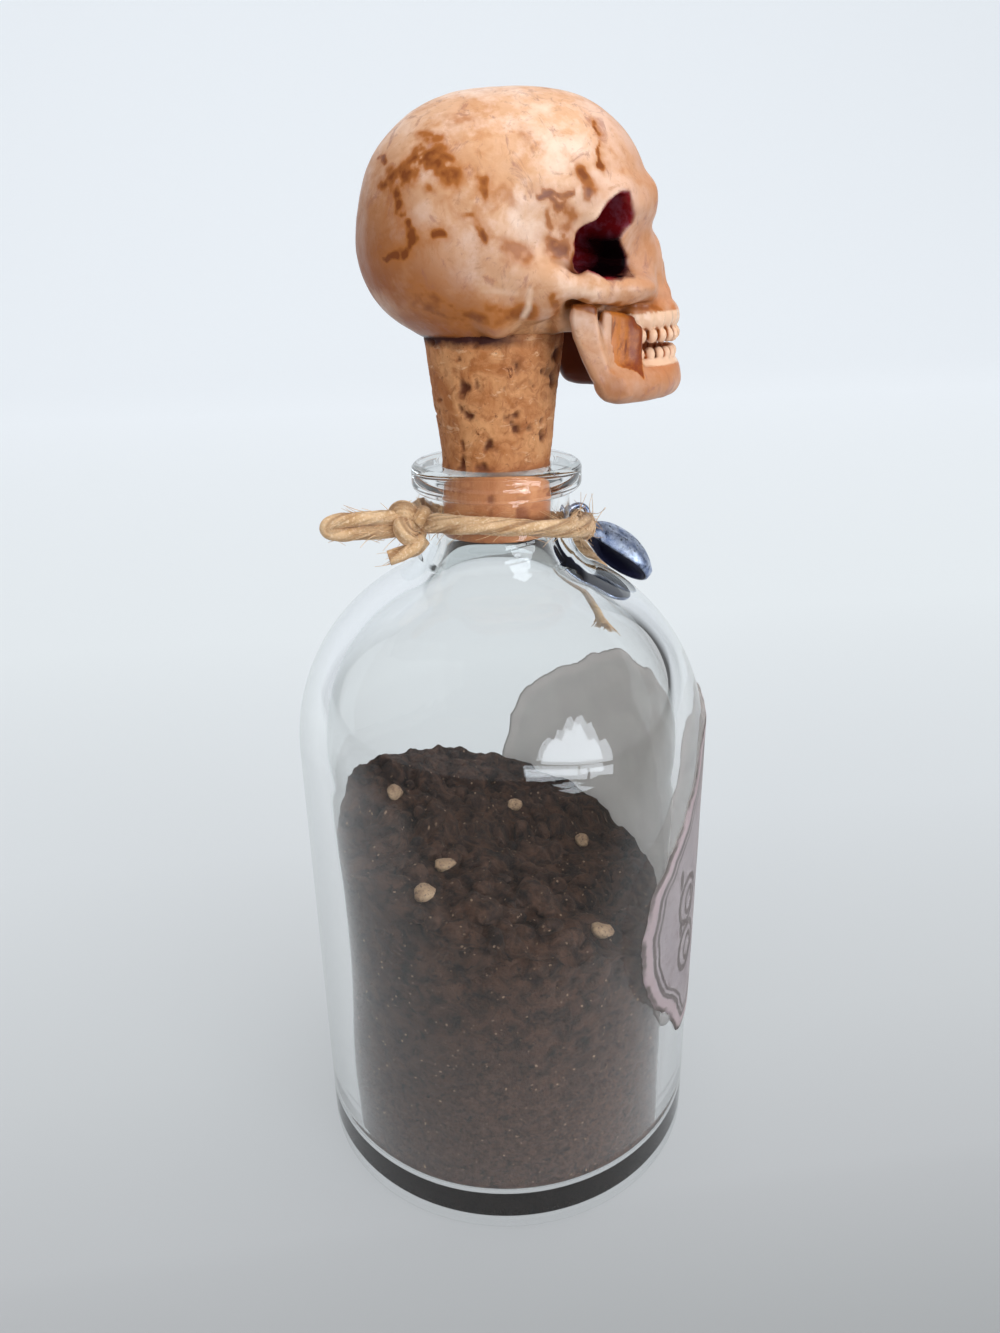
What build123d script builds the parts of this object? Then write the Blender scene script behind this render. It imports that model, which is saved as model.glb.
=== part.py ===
from build123d import *
import math
import os

# Poison bottle: a clear moulded vial with soil in it, a cork with a skull on top,
# a twine tie with a small charm round the neck, and a paper label on the front.
# Millimetres. The origin is the middle of the base on the table, +Z is up, and
# +X is the way the skull faces.

os.makedirs("parts", exist_ok=True)

# One overrun for every cut that has to pass a face
overrun = 1.0

# Bottle
body_radius = 25.8
wall = 3.2
base_thickness = 3.9
base_ring_width = 3.2
base_dish_depth = 0.7
heel_radius = 1.2
floor_corner_radius = 1.8
side_height = 59.5
neck_length = 4.041
shoulder_radius = 24.0
neck_radius = 8.6
neck_sweep_radius = 7.0
bore_radius = 6.4
bore_sweep_radius = 9.0
lip_radius = 10.0
lip_height = 3.2
lip_rounding = 0.9

# Cork stopper
cork_length = 22.9
cork_depth_in_neck = 8.3
cork_bore_clearance = 0.06
cork_top_radius = 7.85
cork_chamfer = 0.3

# Skull braincase: a round body turned about a level axis. Heights in the skull are above its base,
# which is the rim of the seat that the cork goes into
skull_axis_height = 12.6
skull_half_height = 12.3
skull_back = 14.3
skull_front = 17.2
# Shares of the length behind or ahead of the origin, and of the half height
vault_shares = [(-0.96, 0.21), (-0.845, 0.44), (-0.70, 0.64), (-0.51, 0.825), (-0.20, 0.965), (0.09, 1.0),
                (0.40, 0.965), (0.67, 0.86), (0.83, 0.65), (0.935, 0.41), (0.985, 0.20)]
occiput_centre_x = -3.5
occiput_centre_z = 9.1
occiput_half_length = 10.9
occiput_half_width = 11.3
occiput_half_height = 8.9
collar_margin = 0.7
collar_height = 4.5
socket_depth = 1.2
socket_clearance = 0.05
mastoid_x = -0.8
mastoid_y = 9.0
mastoid_z = 3.1
mastoid_half_length = 1.9
mastoid_half_width = 1.6
mastoid_half_height = 2.5

# Skull face
midface_x = 12.4
midface_z = 7.0
midface_half_length = 6.8
midface_half_width = 6.9
midface_half_height = 5.4
brow_x = 10.6
brow_z = 13.2
brow_half_length = 7.5
brow_half_width = 11.3
brow_half_height = 2.7
nose_bridge_radius = 1.35
nose_bridge_top = (16.6, 13.1)
nose_bridge_tip = (17.9, 7.7)
cheek_x = 12.4
cheek_y = 7.8
cheek_z = 6.0
cheek_half_length = 3.9
cheek_half_width = 3.5
cheek_half_height = 2.0
arch_rear = (2.4, 7.3)
arch_rear_y = 11.2
arch_middle = (7.4, 6.8)
arch_middle_y = 12.1
arch_front = (12.6, 5.6)
arch_front_y = 10.2
arch_half_height = 1.45
arch_half_thickness = 0.85
orbit_x = 10.9
orbit_y = 6.8
orbit_z = 10.4
orbit_width = 9.0
orbit_height = 7.2
orbit_corner = 3.2
orbit_depth = 6.5
orbit_back_share = 0.42
orbit_flare_share = 1.2
orbit_reach = 8.0
orbit_turn = 45.0
orbit_droop = 14.0
temple_x = 4.4
temple_y = 13.2
temple_z = 10.3
temple_half_length = 3.6
temple_half_width = 2.4
temple_half_height = 3.3
nostril_x = 19.3
nostril_y = 0.95
nostril_z = 6.0
nostril_half_length = 2.4
nostril_half_width = 1.15
nostril_half_height = 2.3

# Dental arches, the same centre for both
arch_centre_x = 12.8
upper_arch_half_length = 7.6
upper_arch_half_width = 6.4
lower_arch_inset = 0.25
gum_margin = 0.15
upper_gum_z = 2.0
palate_top_z = 6.6
tooth_pairs = 7
tooth_spread = 78.0
tooth_width = 1.3
tooth_depth = 1.25
tooth_rounding = 0.35
tooth_root = 0.8
upper_tooth_edge_z = -0.2
bite_gap = 0.5

# Jaw and its hinge
pivot_x = 8.0
pivot_z = 2.7
stud_radius = 0.8
stud_length = 1.2
stud_clearance = 0.05
ramus_inner_y = 8.75
ramus_thickness = 1.9
ramus_side_clearance = 0.25
condyle_radius = 1.6
hinge_block_length = 5.4
hinge_block_top = 6.1
hinge_block_drop = 1.5
jaw_bottom_z = -6.7
jaw_gum_z = -2.5
jaw_rear_x = 10.4
jaw_length = 11.1
jaw_half_width = 10.6
jaw_edge_rounding = 0.7
# Shares of the length ahead of the rear and of the half width, from the side round to the chin
jaw_outer_shares = [(0.00, 1.00), (0.36, 0.89), (0.72, 0.64), (0.94, 0.31), (1.00, 0.00)]
jaw_inner_shares = [(0.00, 0.72), (0.20, 0.60), (0.42, 0.48), (0.65, 0.29), (0.74, 0.00)]
chin_x = 19.6
chin_z = -4.8
chin_half_length = 2.1
chin_half_width = 3.4
chin_half_height = 2.0
# Ramus outline from the hinge pin, shares of the drop from the pin to the jaw's lower edge
ramus_shares = [(-0.17, -0.05), (0.00, -0.34), (0.13, -0.76), (0.25, -0.95), (0.40, -0.97),
                (0.42, -0.58), (0.30, -0.45), (0.24, -0.28), (0.19, 0.12)]
# The recessed web between ramus and teeth, clear of the hinge block when the jaw turns
web_rear_x = 11.1
web_front_x = 13.4
web_foot_x = (9.7, 13.9)
web_step = (9.9, 0.9)
web_top_z = 2.6
web_foot_z = -5.8
web_thickness = 1.5
web_overlap = 0.3

# Soil and the stones on it
soil_gap = 0.2
soil_height = 43.5
soil_high_side = 160.0
soil_slope = 17.0
stone_gap = 0.05
# Place across the soil as shares of the radius it lies in, then length, width and height
stone_places_shares = [(-0.38, -0.36), (-0.50, -0.62), (0.42, -0.72),
                       (0.12, 0.35), (-0.66, 0.20), (0.55, 0.18)]
stone_sizes = [(3.2, 2.4, 1.8), (3.4, 2.6, 2.0), (3.0, 2.4, 1.9),
               (2.8, 2.3, 1.7), (3.0, 2.5, 2.0), (2.6, 2.1, 1.6)]
stone_turns = [20.0, 75.0, 130.0, 10.0, 50.0, 95.0]
stone_showing_share = 0.55
# The larger lumps of the soil's top: place as shares of its radius, then the share of the full size
mound_shares = [(-0.70, -0.14, 0.95), (-0.40, 0.02, 1.00), (-0.42, 0.46, 0.90), (-0.12, -0.20, 0.85),
                (-0.14, 0.64, 1.00), (-0.20, -0.66, 0.90), (0.12, -0.50, 1.00), (0.20, 0.02, 0.95),
                (0.38, 0.54, 0.85), (0.44, -0.30, 0.90), (0.74, -0.12, 0.85), (-0.10, 0.30, 0.80),
                (-0.64, 0.50, 0.85), (0.14, -0.82, 0.80)]
mound_half_length = 3.2
mound_half_width = 2.7
mound_half_height = 1.9
mound_turn_step = 50.0

# Paper label, outlined on the unrolled side of the bottle
label_direction = 19.0
label_thickness = 0.25
label_glue_gap = 0.03
label_half_width = 35.0
label_bottom_z = 20.0
label_height = 45.5
# Shares of the half width sideways, positive on the far side, and of the height
label_outline_shares = [
    (-0.68, 0.00), (-0.78, 0.09), (-0.92, 0.22), (-0.99, 0.35), (-1.00, 0.45), (-0.95, 0.57),
    (-0.85, 0.67), (-0.75, 0.76), (-0.67, 0.84), (-0.63, 0.91), (-0.55, 0.95), (-0.44, 0.95),
    (-0.32, 0.97), (-0.20, 0.97), (-0.08, 0.99), (0.04, 0.98), (0.17, 1.00), (0.33, 0.94),
    (0.47, 0.87), (0.63, 0.80), (0.74, 0.70), (0.80, 0.52), (0.86, 0.38), (0.82, 0.25),
    (0.72, 0.11), (0.64, 0.02), (0.42, 0.06), (0.20, 0.01), (-0.02, 0.05), (-0.24, 0.00),
    (-0.46, 0.06)]

# Twine: a loose ring round the neck, a knot, a flat loop and two cut tails
twine_diameter = 2.0
ring_radius = 10.2
ring_shift = 0.5
ring_rise = 0.24
ring_tilt = 5.9
knot_direction = 199.0
knot_length = 5.0
knot_width = 4.4
knot_height = 4.6
knot_clearance = 0.15
knot_wrap_turn = 35.0
knot_wrap_proud = 0.2
ring_end_angle = 17.0
loop_length = 10.3
loop_spacing = 2.3
loop_twine_diameter = 1.7
loop_direction = 184.0
short_tail_length = 6.2
short_tail_drop = 58.0
short_tail_direction = 222.0
long_tail_direction = 42.0
long_tail_diameter = 1.8
long_tail_lift = 0.2
long_tail_step = 0.5
long_tail_end_angle = 20.0

# Charm: a hollow-backed silver drop hung by a ring on the twine
charm_direction = 14.0
charm_roll = -12.0
charm_length = 11.4
charm_width = 8.0
charm_depth = 2.3
charm_wall = 0.7
charm_tip_radius = 1.1
charm_dome_share = 0.62
charm_lift = 1.9
charm_offset = -0.9
eye_wire_radius = 0.38
eye_clearance = 0.12
eye_overlap = 0.3


def ellipsoid(centre, half_sizes):
    unit = Sphere(1)
    return Pos(*centre) * scale(unit, by=half_sizes)


def both_sides(shape):
    return shape + mirror(shape, about=Plane.XZ)


def revolved(points_and_arcs):
    return revolve(Plane.XZ * make_face(points_and_arcs), axis=Axis.Z)


def meet_circles(centre_x, centre_z, main_radius, straight_x, sweep_radius):
    # A sweep that leaves an upright line at straight_x and meets a circle from outside
    sweep_x = straight_x + sweep_radius
    reach = main_radius + sweep_radius
    sweep_z = centre_z + math.sqrt(reach ** 2 - (sweep_x - centre_x) ** 2)
    share = main_radius / reach
    meet_x = centre_x + (sweep_x - centre_x) * share
    meet_z = centre_z + (sweep_z - centre_z) * share
    return sweep_x, sweep_z, meet_x, meet_z


def arc_between(centre, start, end, radius):
    # The short arc about a centre from one point to the other
    middle = Vector(start[0] + end[0] - 2 * centre[0], start[1] + end[1] - 2 * centre[1]).normalized()
    through = (centre[0] + middle.X * radius, centre[1] + middle.Y * radius)
    return ThreePointArc(start, through, end)


shoulder_centre_x = body_radius - shoulder_radius
neck_start_z = meet_circles(shoulder_centre_x, side_height, shoulder_radius, neck_radius,
                            neck_sweep_radius)[1]
bottle_height = neck_start_z + neck_length + lip_height
inner_radius = body_radius - wall
inner_shoulder_radius = shoulder_radius - wall


def inner_wall(gap, top_z):
    # The glass wall seen from inside, drawn in by a gap, up to a height on the side or the shoulder
    side_x = inner_radius - gap
    floor_z = base_thickness + gap
    corner = floor_corner_radius - gap
    corner_centre = (side_x - corner, floor_z + corner)
    floor_end = (side_x - corner, floor_z)
    side_start = (side_x, floor_z + corner)
    floor_line = Line((0, floor_z), floor_end)
    corner_arc = arc_between(corner_centre, floor_end, side_start, corner)
    side_line = Line(side_start, (side_x, top_z))
    return floor_line, corner_arc, side_line


def make_bottle():
    sweep_x, sweep_z, meet_x, meet_z = meet_circles(
        shoulder_centre_x, side_height, shoulder_radius, neck_radius, neck_sweep_radius)
    bore_x, bore_z, join_x, join_z = meet_circles(
        shoulder_centre_x, side_height, inner_shoulder_radius, bore_radius, bore_sweep_radius)
    shoulder_centre = (shoulder_centre_x, side_height)
    ring_in = body_radius - heel_radius - base_ring_width
    ring_out = body_radius - heel_radius
    lip_under = bottle_height - lip_height
    rounding_x = lip_radius - lip_rounding
    rounding_z = bottle_height - lip_rounding
    mouth_x = bore_radius + lip_rounding
    dish = ThreePointArc(
        (0, base_dish_depth), (ring_in / 2, base_dish_depth * 3 / 4), (ring_in, 0))
    outside = [
        dish,
        Line((ring_in, 0), (ring_out, 0)),
        arc_between((ring_out, heel_radius), (ring_out, 0), (body_radius, heel_radius), heel_radius),
        Line((body_radius, heel_radius), (body_radius, side_height)),
        arc_between(shoulder_centre, (body_radius, side_height), (meet_x, meet_z), shoulder_radius),
        arc_between((sweep_x, sweep_z), (meet_x, meet_z), (neck_radius, sweep_z),
                    neck_sweep_radius),
        Line((neck_radius, sweep_z), (neck_radius, lip_under)),
        Line((neck_radius, lip_under), (rounding_x, lip_under)),
        arc_between((rounding_x, lip_under + lip_rounding), (rounding_x, lip_under),
                    (lip_radius, lip_under + lip_rounding), lip_rounding),
        Line((lip_radius, lip_under + lip_rounding), (lip_radius, rounding_z)),
        arc_between((rounding_x, rounding_z), (lip_radius, rounding_z), (rounding_x, bottle_height),
                    lip_rounding),
        Line((rounding_x, bottle_height), (mouth_x, bottle_height)),
        arc_between((mouth_x, rounding_z), (mouth_x, bottle_height), (bore_radius, rounding_z),
                    lip_rounding),
        Line((bore_radius, rounding_z), (bore_radius, bore_z)),
        arc_between((bore_x, bore_z), (bore_radius, bore_z), (join_x, join_z), bore_sweep_radius),
        arc_between(shoulder_centre, (join_x, join_z), (inner_radius, side_height), inner_shoulder_radius),
    ]
    floor_line, corner_arc, side_line = inner_wall(0, side_height)
    axis_line = Line((0, base_thickness), (0, base_dish_depth))
    return revolved(outside + [side_line, corner_arc, floor_line, axis_line])


cork_bottom_z = bottle_height - cork_depth_in_neck
cork_top_z = cork_bottom_z + cork_length
skull_base_z = cork_top_z - socket_depth
cork_neck_radius = bore_radius - cork_bore_clearance


def make_cork():
    profile = Polyline(
        (0, cork_bottom_z), (cork_neck_radius - cork_chamfer, cork_bottom_z),
        (cork_neck_radius, cork_bottom_z + cork_chamfer), (cork_neck_radius, bottle_height),
        (cork_top_radius, skull_base_z), (cork_top_radius, cork_top_z), (0, cork_top_z), close=True)
    return revolved(profile)


def stud(radius, start_y, length):
    return Pos(pivot_x, start_y, pivot_z) * Rot(X=-90) * Cylinder(
        radius, length, align=(Align.CENTER, Align.CENTER, Align.MIN))


def tooth_row(half_length, half_width, low_z, high_z):
    # Teeth stand side by side round half an ellipse, each turned square to it
    row = []
    count = 2 * tooth_pairs
    for index in range(count):
        angle = math.radians(tooth_spread * (2 * (index + 0.5) / count - 1))
        x = arch_centre_x + half_length * math.cos(angle)
        y = half_width * math.sin(angle)
        facing = math.degrees(math.atan2(math.sin(angle) / half_width, math.cos(angle) / half_length))
        crown = extrude(RectangleRounded(tooth_depth, tooth_width, tooth_rounding), high_z - low_z)
        row.append(Pos(x, y, low_z) * Rot(Z=facing) * crown)
    return row


def arch_block(centre_x, half_length, half_width, low_z, high_z):
    return Pos(centre_x, 0, low_z) * extrude(Ellipse(half_length, half_width), high_z - low_z)


def make_vault():
    points = [(-skull_back, 0)]
    for along, out in vault_shares:
        reach = skull_back if along < 0 else skull_front
        points.append((along * reach, out * skull_half_height))
    points.append((skull_front, 0))
    edge = Spline(points, tangents=[(0, 1), (0, -1)])
    half = make_face([edge, Line((skull_front, 0), (-skull_back, 0))])
    return Pos(0, 0, skull_axis_height) * revolve(half, axis=Axis.X)


def make_arch():
    middle = Spline(
        (arch_rear[0], arch_rear_y, arch_rear[1]),
        (arch_middle[0], arch_middle_y, arch_middle[1]),
        (arch_front[0], arch_front_y, arch_front[1]))
    section_plane = Plane(middle @ 0, z_dir=middle % 0, x_dir=(0, 0, 1))
    return sweep(section_plane * Ellipse(arch_half_height, arch_half_thickness), path=middle)


def make_orbit():
    # A rounded square socket that narrows towards its back and flares past the rim
    rim = RectangleRounded(orbit_width, orbit_height, orbit_corner)
    back = Pos(0, 0, -orbit_depth) * scale(rim, by=orbit_back_share)
    front = Pos(0, 0, orbit_reach) * scale(rim, by=orbit_flare_share)
    socket = loft([back, rim]) + loft([rim, front])
    return Pos(orbit_x, orbit_y, orbit_z) * Rot(Z=orbit_turn) * Rot(Y=90) * Rot(Z=90 + orbit_droop) * socket


def make_cranium():
    occiput = ellipsoid((occiput_centre_x, 0, occiput_centre_z),
                        (occiput_half_length, occiput_half_width, occiput_half_height))
    collar = Cylinder(cork_top_radius + collar_margin, collar_height,
                      align=(Align.CENTER, Align.CENTER, Align.MIN))
    collar = fillet(collar.edges().group_by(Axis.Z)[0], collar_margin / 2)
    midface = ellipsoid((midface_x, 0, midface_z),
                        (midface_half_length, midface_half_width, midface_half_height))
    palate = arch_block(arch_centre_x, upper_arch_half_length - gum_margin,
                        upper_arch_half_width + gum_margin, upper_gum_z, palate_top_z)
    bridge_lean = math.degrees(math.atan2(nose_bridge_tip[0] - nose_bridge_top[0],
                                          nose_bridge_top[1] - nose_bridge_tip[1]))
    bridge_length = math.hypot(nose_bridge_tip[0] - nose_bridge_top[0],
                               nose_bridge_tip[1] - nose_bridge_top[1])
    bridge = Pos(nose_bridge_tip[0], 0, nose_bridge_tip[1]) * Rot(Y=-bridge_lean) * (
        Cylinder(nose_bridge_radius, bridge_length, align=(Align.CENTER, Align.CENTER, Align.MIN))
        + Sphere(nose_bridge_radius))
    hinge_block = Pos(pivot_x, 0, pivot_z - hinge_block_drop) * Box(
        hinge_block_length, 2 * (ramus_inner_y - ramus_side_clearance),
        hinge_block_top - pivot_z + hinge_block_drop, align=(Align.CENTER, Align.CENTER, Align.MIN))
    hinge_block = fillet(hinge_block.edges().filter_by(Axis.Y), jaw_edge_rounding)
    brow = ellipsoid((brow_x, 0, brow_z), (brow_half_length, brow_half_width, brow_half_height))
    cheeks = both_sides(ellipsoid((cheek_x, cheek_y, cheek_z),
                                  (cheek_half_length, cheek_half_width, cheek_half_height)))
    mastoids = both_sides(ellipsoid((mastoid_x, mastoid_y, mastoid_z),
                                    (mastoid_half_length, mastoid_half_width, mastoid_half_height)))
    temples = both_sides(ellipsoid((temple_x, temple_y, temple_z),
                                   (temple_half_length, temple_half_width, temple_half_height)))
    nostrils = both_sides(ellipsoid((nostril_x, nostril_y, nostril_z),
                                    (nostril_half_length, nostril_half_width, nostril_half_height)))
    skull = make_vault() + occiput + collar + midface + palate + brow + mastoids
    skull = skull - temples
    skull = skull + cheeks + both_sides(make_arch()) + hinge_block
    skull = skull - both_sides(make_orbit())
    skull = skull + bridge
    skull = skull - nostrils
    skull = skull + tooth_row(upper_arch_half_length, upper_arch_half_width,
                              upper_tooth_edge_z, upper_gum_z + tooth_root)
    socket_radius = cork_top_radius + socket_clearance
    skull = skull - Pos(0, 0, -overrun) * Cylinder(
        socket_radius, socket_depth + overrun, align=(Align.CENTER, Align.CENTER, Align.MIN))
    hole_start = ramus_inner_y - stud_length - stud_clearance
    holes = both_sides(stud(stud_radius + stud_clearance, hole_start, stud_length + overrun))
    return skull - holes


def jaw_curve(shares):
    # A smooth horseshoe through points on one side, the chin and the same points on the other side
    near = [(jaw_rear_x + along * jaw_length, out * jaw_half_width) for along, out in shares]
    far = [(x, -y) for x, y in near[-2::-1]]
    return Spline(near + far)


def make_jaw():
    drop = pivot_z - jaw_bottom_z
    outer = jaw_curve(jaw_outer_shares)
    inner = jaw_curve(jaw_inner_shares)
    ends = [Line(outer @ 0, inner @ 0), Line(outer @ 1, inner @ 1)]
    body = Pos(0, 0, jaw_bottom_z) * extrude(make_face([outer, inner] + ends), jaw_gum_z - jaw_bottom_z)
    body = fillet(body.edges().group_by(Axis.Z)[0], jaw_edge_rounding)
    outline = [(pivot_x + along * drop, pivot_z + up * drop) for along, up in ramus_shares]
    plate = Plane.XZ.offset(-ramus_inner_y - ramus_thickness) * make_face(Polyline(outline, close=True))
    ramus = extrude(plate, ramus_thickness)
    condyle = stud(condyle_radius, ramus_inner_y, ramus_thickness)
    pin = stud(stud_radius, ramus_inner_y - stud_length, stud_length + ramus_thickness / 2)
    chin = ellipsoid((chin_x, 0, chin_z), (chin_half_length, chin_half_width, chin_half_height))
    web_outline = [(web_foot_x[0], web_foot_z), (web_foot_x[1], web_foot_z), (web_front_x, web_top_z),
                   (web_rear_x, web_top_z), (web_rear_x, web_step[1]), web_step]
    web_plane = Plane.XZ.offset(-ramus_inner_y - web_overlap)
    web = extrude(web_plane * make_face(Polyline(web_outline, close=True)), web_thickness + web_overlap)
    jaw = body + chin + both_sides(ramus + condyle + pin + web)
    teeth = tooth_row(upper_arch_half_length - lower_arch_inset, upper_arch_half_width - lower_arch_inset,
                      jaw_gum_z - tooth_root, upper_tooth_edge_z - bite_gap)
    return jaw + teeth


soil_radius = inner_radius - soil_gap
slope_dir = (math.cos(math.radians(soil_high_side)), math.sin(math.radians(soil_high_side)))


def soil_level(x, y):
    return soil_height + math.tan(math.radians(soil_slope)) * (x * slope_dir[0] + y * slope_dir[1])


def make_stones(growth):
    stones = []
    for (x_share, y_share), size, turn in zip(stone_places_shares, stone_sizes, stone_turns):
        x = x_share * soil_radius
        y = y_share * soil_radius
        half = tuple(length / 2 + growth for length in size)
        z = soil_level(x, y) + size[2] * (stone_showing_share - 1 / 2)
        stones.append(Pos(x, y, z) * Rot(Z=turn) * scale(Sphere(1), by=half))
    return stones


def make_soil():
    floor_line, corner_arc, side_line = inner_wall(soil_gap, side_height)
    top_line = Line((soil_radius, side_height), (0, side_height))
    axis_line = Line((0, side_height), (0, base_thickness + soil_gap))
    fill = revolved([floor_line, corner_arc, side_line, top_line, axis_line])
    slab = Box(4 * soil_radius, 4 * soil_radius, 2 * side_height,
               align=(Align.CENTER, Align.CENTER, Align.MIN))
    above = Pos(0, 0, soil_height) * Rot(Z=soil_high_side) * Rot(Y=-soil_slope) * slab
    fill = fill - above
    for index, (x_share, y_share, size_share) in enumerate(mound_shares):
        x = x_share * soil_radius
        y = y_share * soil_radius
        half = (mound_half_length * size_share, mound_half_width * size_share,
                mound_half_height * size_share)
        mound = Rot(Z=index * mound_turn_step) * ellipsoid((0, 0, 0), half)
        fill = fill + Pos(x, y, soil_level(x, y)) * mound
    for stone in make_stones(stone_gap):
        fill = fill - stone
    return fill


def make_label():
    inside = body_radius + label_glue_gap
    outside = inside + label_thickness
    sleeve = Cylinder(outside, label_height, align=(Align.CENTER, Align.CENTER, Align.MIN)) - Cylinder(
        inside, label_height, align=(Align.CENTER, Align.CENTER, Align.MIN))
    outline = []
    for across, up in label_outline_shares:
        sideways = outside * math.sin(across * label_half_width / outside)
        outline.append((sideways, up * label_height))
    # The outline faces +X before the label is turned to its direction
    face = Plane.YZ * make_face(Polyline(outline, close=True))
    cutter = extrude(face, outside + overrun)
    return Pos(0, 0, label_bottom_z) * Rot(Z=label_direction) * (sleeve & cutter)


twine_radius = twine_diameter / 2
ring_place = Pos(ring_shift, 0, neck_start_z + ring_rise) * Rot(Y=ring_tilt)


def ring_point(direction):
    # The middle of the twine in the ring, in a direction seen from the ring's centre
    angle = math.radians(direction)
    place = ring_place * Pos(ring_radius * math.cos(angle), ring_radius * math.sin(angle), 0)
    return place.position


knot_wrap_radius = (knot_height - twine_diameter) / 2 + knot_wrap_proud
knot_reach = neck_radius + knot_wrap_radius + twine_radius + knot_clearance
knot_angle = math.radians(knot_direction)
knot_centre = (knot_reach * math.cos(knot_angle), knot_reach * math.sin(knot_angle),
               ring_point(knot_direction).Z)
strand_start = knot_wrap_radius + twine_radius + knot_clearance


def make_knot():
    # A ball with one turn of twine drawn tight across it
    ball = ellipsoid((0, 0, 0), (knot_width / 2, knot_length / 2, knot_height / 2 - knot_wrap_proud))
    wrap = Rot(Z=knot_wrap_turn) * Rot(X=90) * Torus(knot_wrap_radius, twine_radius)
    return Pos(*knot_centre) * Rot(Z=knot_direction) * (ball + wrap)


def make_neck_loop():
    # The ring starts and ends beside the knot
    path = CenterArc((0, 0), ring_radius, knot_direction + ring_end_angle, 360 - 2 * ring_end_angle)
    section = Plane(origin=path @ 0, z_dir=path % 0) * Circle(twine_radius)
    return ring_place * sweep(section, path=path)


def make_flat_loop():
    # Two strands one above the other that turn back on themselves at the far end
    half_gap = loop_spacing / 2
    reach = loop_length - half_gap
    upper = Line((strand_start, half_gap), (reach, half_gap))
    turn = ThreePointArc((reach, half_gap), (reach + half_gap, 0), (reach, -half_gap))
    lower = Line((reach, -half_gap), (strand_start, -half_gap))
    path = Plane.XZ * (upper + turn + lower)
    section = Plane(origin=(strand_start, 0, half_gap), z_dir=(1, 0, 0)) * Circle(loop_twine_diameter / 2)
    return Pos(*knot_centre) * Rot(Z=loop_direction) * sweep(section, path=path)


def make_short_tail():
    place = Pos(*knot_centre) * Rot(Z=short_tail_direction) * Rot(Y=90 + short_tail_drop)
    strand = Cylinder(loop_twine_diameter / 2, short_tail_length - strand_start,
                      align=(Align.CENTER, Align.CENTER, Align.MIN))
    return place * Pos(0, 0, strand_start) * strand


def angle_of_touch(start, path_radius):
    # Where a straight line down from start first touches a circle about the shoulder's centre
    from_centre = (start[0] - shoulder_centre_x, start[1] - side_height)
    return math.atan2(from_centre[1], from_centre[0]) - math.acos(path_radius / math.hypot(*from_centre))


def make_long_tail():
    # The tail leaves the underside of the ring, runs straight down to the shoulder and follows it
    on_ring = ring_point(long_tail_direction)
    start = (math.hypot(on_ring.X, on_ring.Y) + long_tail_step,
             on_ring.Z - twine_radius - long_tail_diameter / 2)
    path_radius = shoulder_radius + long_tail_lift + long_tail_diameter / 2
    touch_angle = angle_of_touch(start, path_radius)
    end_angle = math.radians(long_tail_end_angle)

    def on_shoulder(angle):
        return (shoulder_centre_x + path_radius * math.cos(angle),
                side_height + path_radius * math.sin(angle))

    straight = Line(start, on_shoulder(touch_angle))
    curved = ThreePointArc(on_shoulder(touch_angle), on_shoulder((touch_angle + end_angle) / 2),
                           on_shoulder(end_angle))
    path = Plane.XZ * (straight + curved)
    section = Plane(origin=path @ 0, z_dir=path % 0) * Circle(long_tail_diameter / 2)
    print("long tail length", round(path.length, 2), "bend radius", round(path_radius, 2))
    return Rot(Z=long_tail_direction) * sweep(section, path=path)


def make_charm():
    # Drawn pointing along +X with its domed side up, the twine at the origin
    eye_inner = twine_radius + eye_clearance
    eye_middle = eye_inner + eye_wire_radius
    eye = Rot(X=90) * Torus(eye_middle, eye_wire_radius)
    start_x = eye_middle + eye_wire_radius - eye_overlap
    round_radius = charm_width / 2
    round_x = start_x + charm_length - round_radius
    drop = make_hull([
        *(Pos(start_x + charm_tip_radius, 0) * Circle(charm_tip_radius)).edges(),
        *(Pos(round_x, 0) * Circle(round_radius)).edges()])
    middle_x = start_x + charm_length / 2
    dome_length = charm_length * charm_dome_share
    dome_width = charm_width * charm_dome_share
    dome = ellipsoid((middle_x, 0, 0), (dome_length, dome_width, charm_depth))
    hollow = ellipsoid((middle_x, 0, -charm_wall),
                       (dome_length - charm_wall, dome_width - charm_wall, charm_depth))
    blank = extrude(drop, charm_depth) & dome
    shell = Rot(X=charm_roll) * Pos(0, 0, charm_offset) * (blank - hollow)
    return shell + eye


def charm_place():
    # The charm hangs from the twine and lies along the shoulder, a little way off it
    centre = ring_point(charm_direction)
    start = (math.hypot(centre.X, centre.Y), centre.Z)
    slope = 90 - math.degrees(angle_of_touch(start, shoulder_radius + charm_lift))
    print("charm hangs at", [round(value, 3) for value in centre], "slope", round(slope, 2))
    return Pos(*centre) * Rot(Z=charm_direction) * Rot(Y=slope)


nodes = {
    "bottle": make_bottle(),
    "cork_stopper": make_cork(),
    "skull_cranium": Pos(0, 0, skull_base_z) * make_cranium(),
    "skull_jaw": Pos(0, 0, skull_base_z) * make_jaw(),
    "soil_fill": make_soil(),
    "soil_stones": Compound(children=make_stones(0)),
    "front_label": make_label(),
    "twine_knot": make_knot(),
    "twine_neck_loop": make_neck_loop(),
    "twine_flat_loop": make_flat_loop(),
    "twine_short_tail": make_short_tail(),
    "twine_long_tail": make_long_tail(),
    "charm": charm_place() * make_charm(),
}

for name, shape in nodes.items():
    export_step(shape, f"parts/{name}.step")
    box = shape.bounding_box()
    corners = [round(value, 2) for value in (*box.min, *box.max)]
    print(name, len(shape.solids()), corners, round(shape.volume, 1))
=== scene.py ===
import math
import bpy
import numpy as np
from mathutils import Matrix, Vector, geometry


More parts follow.
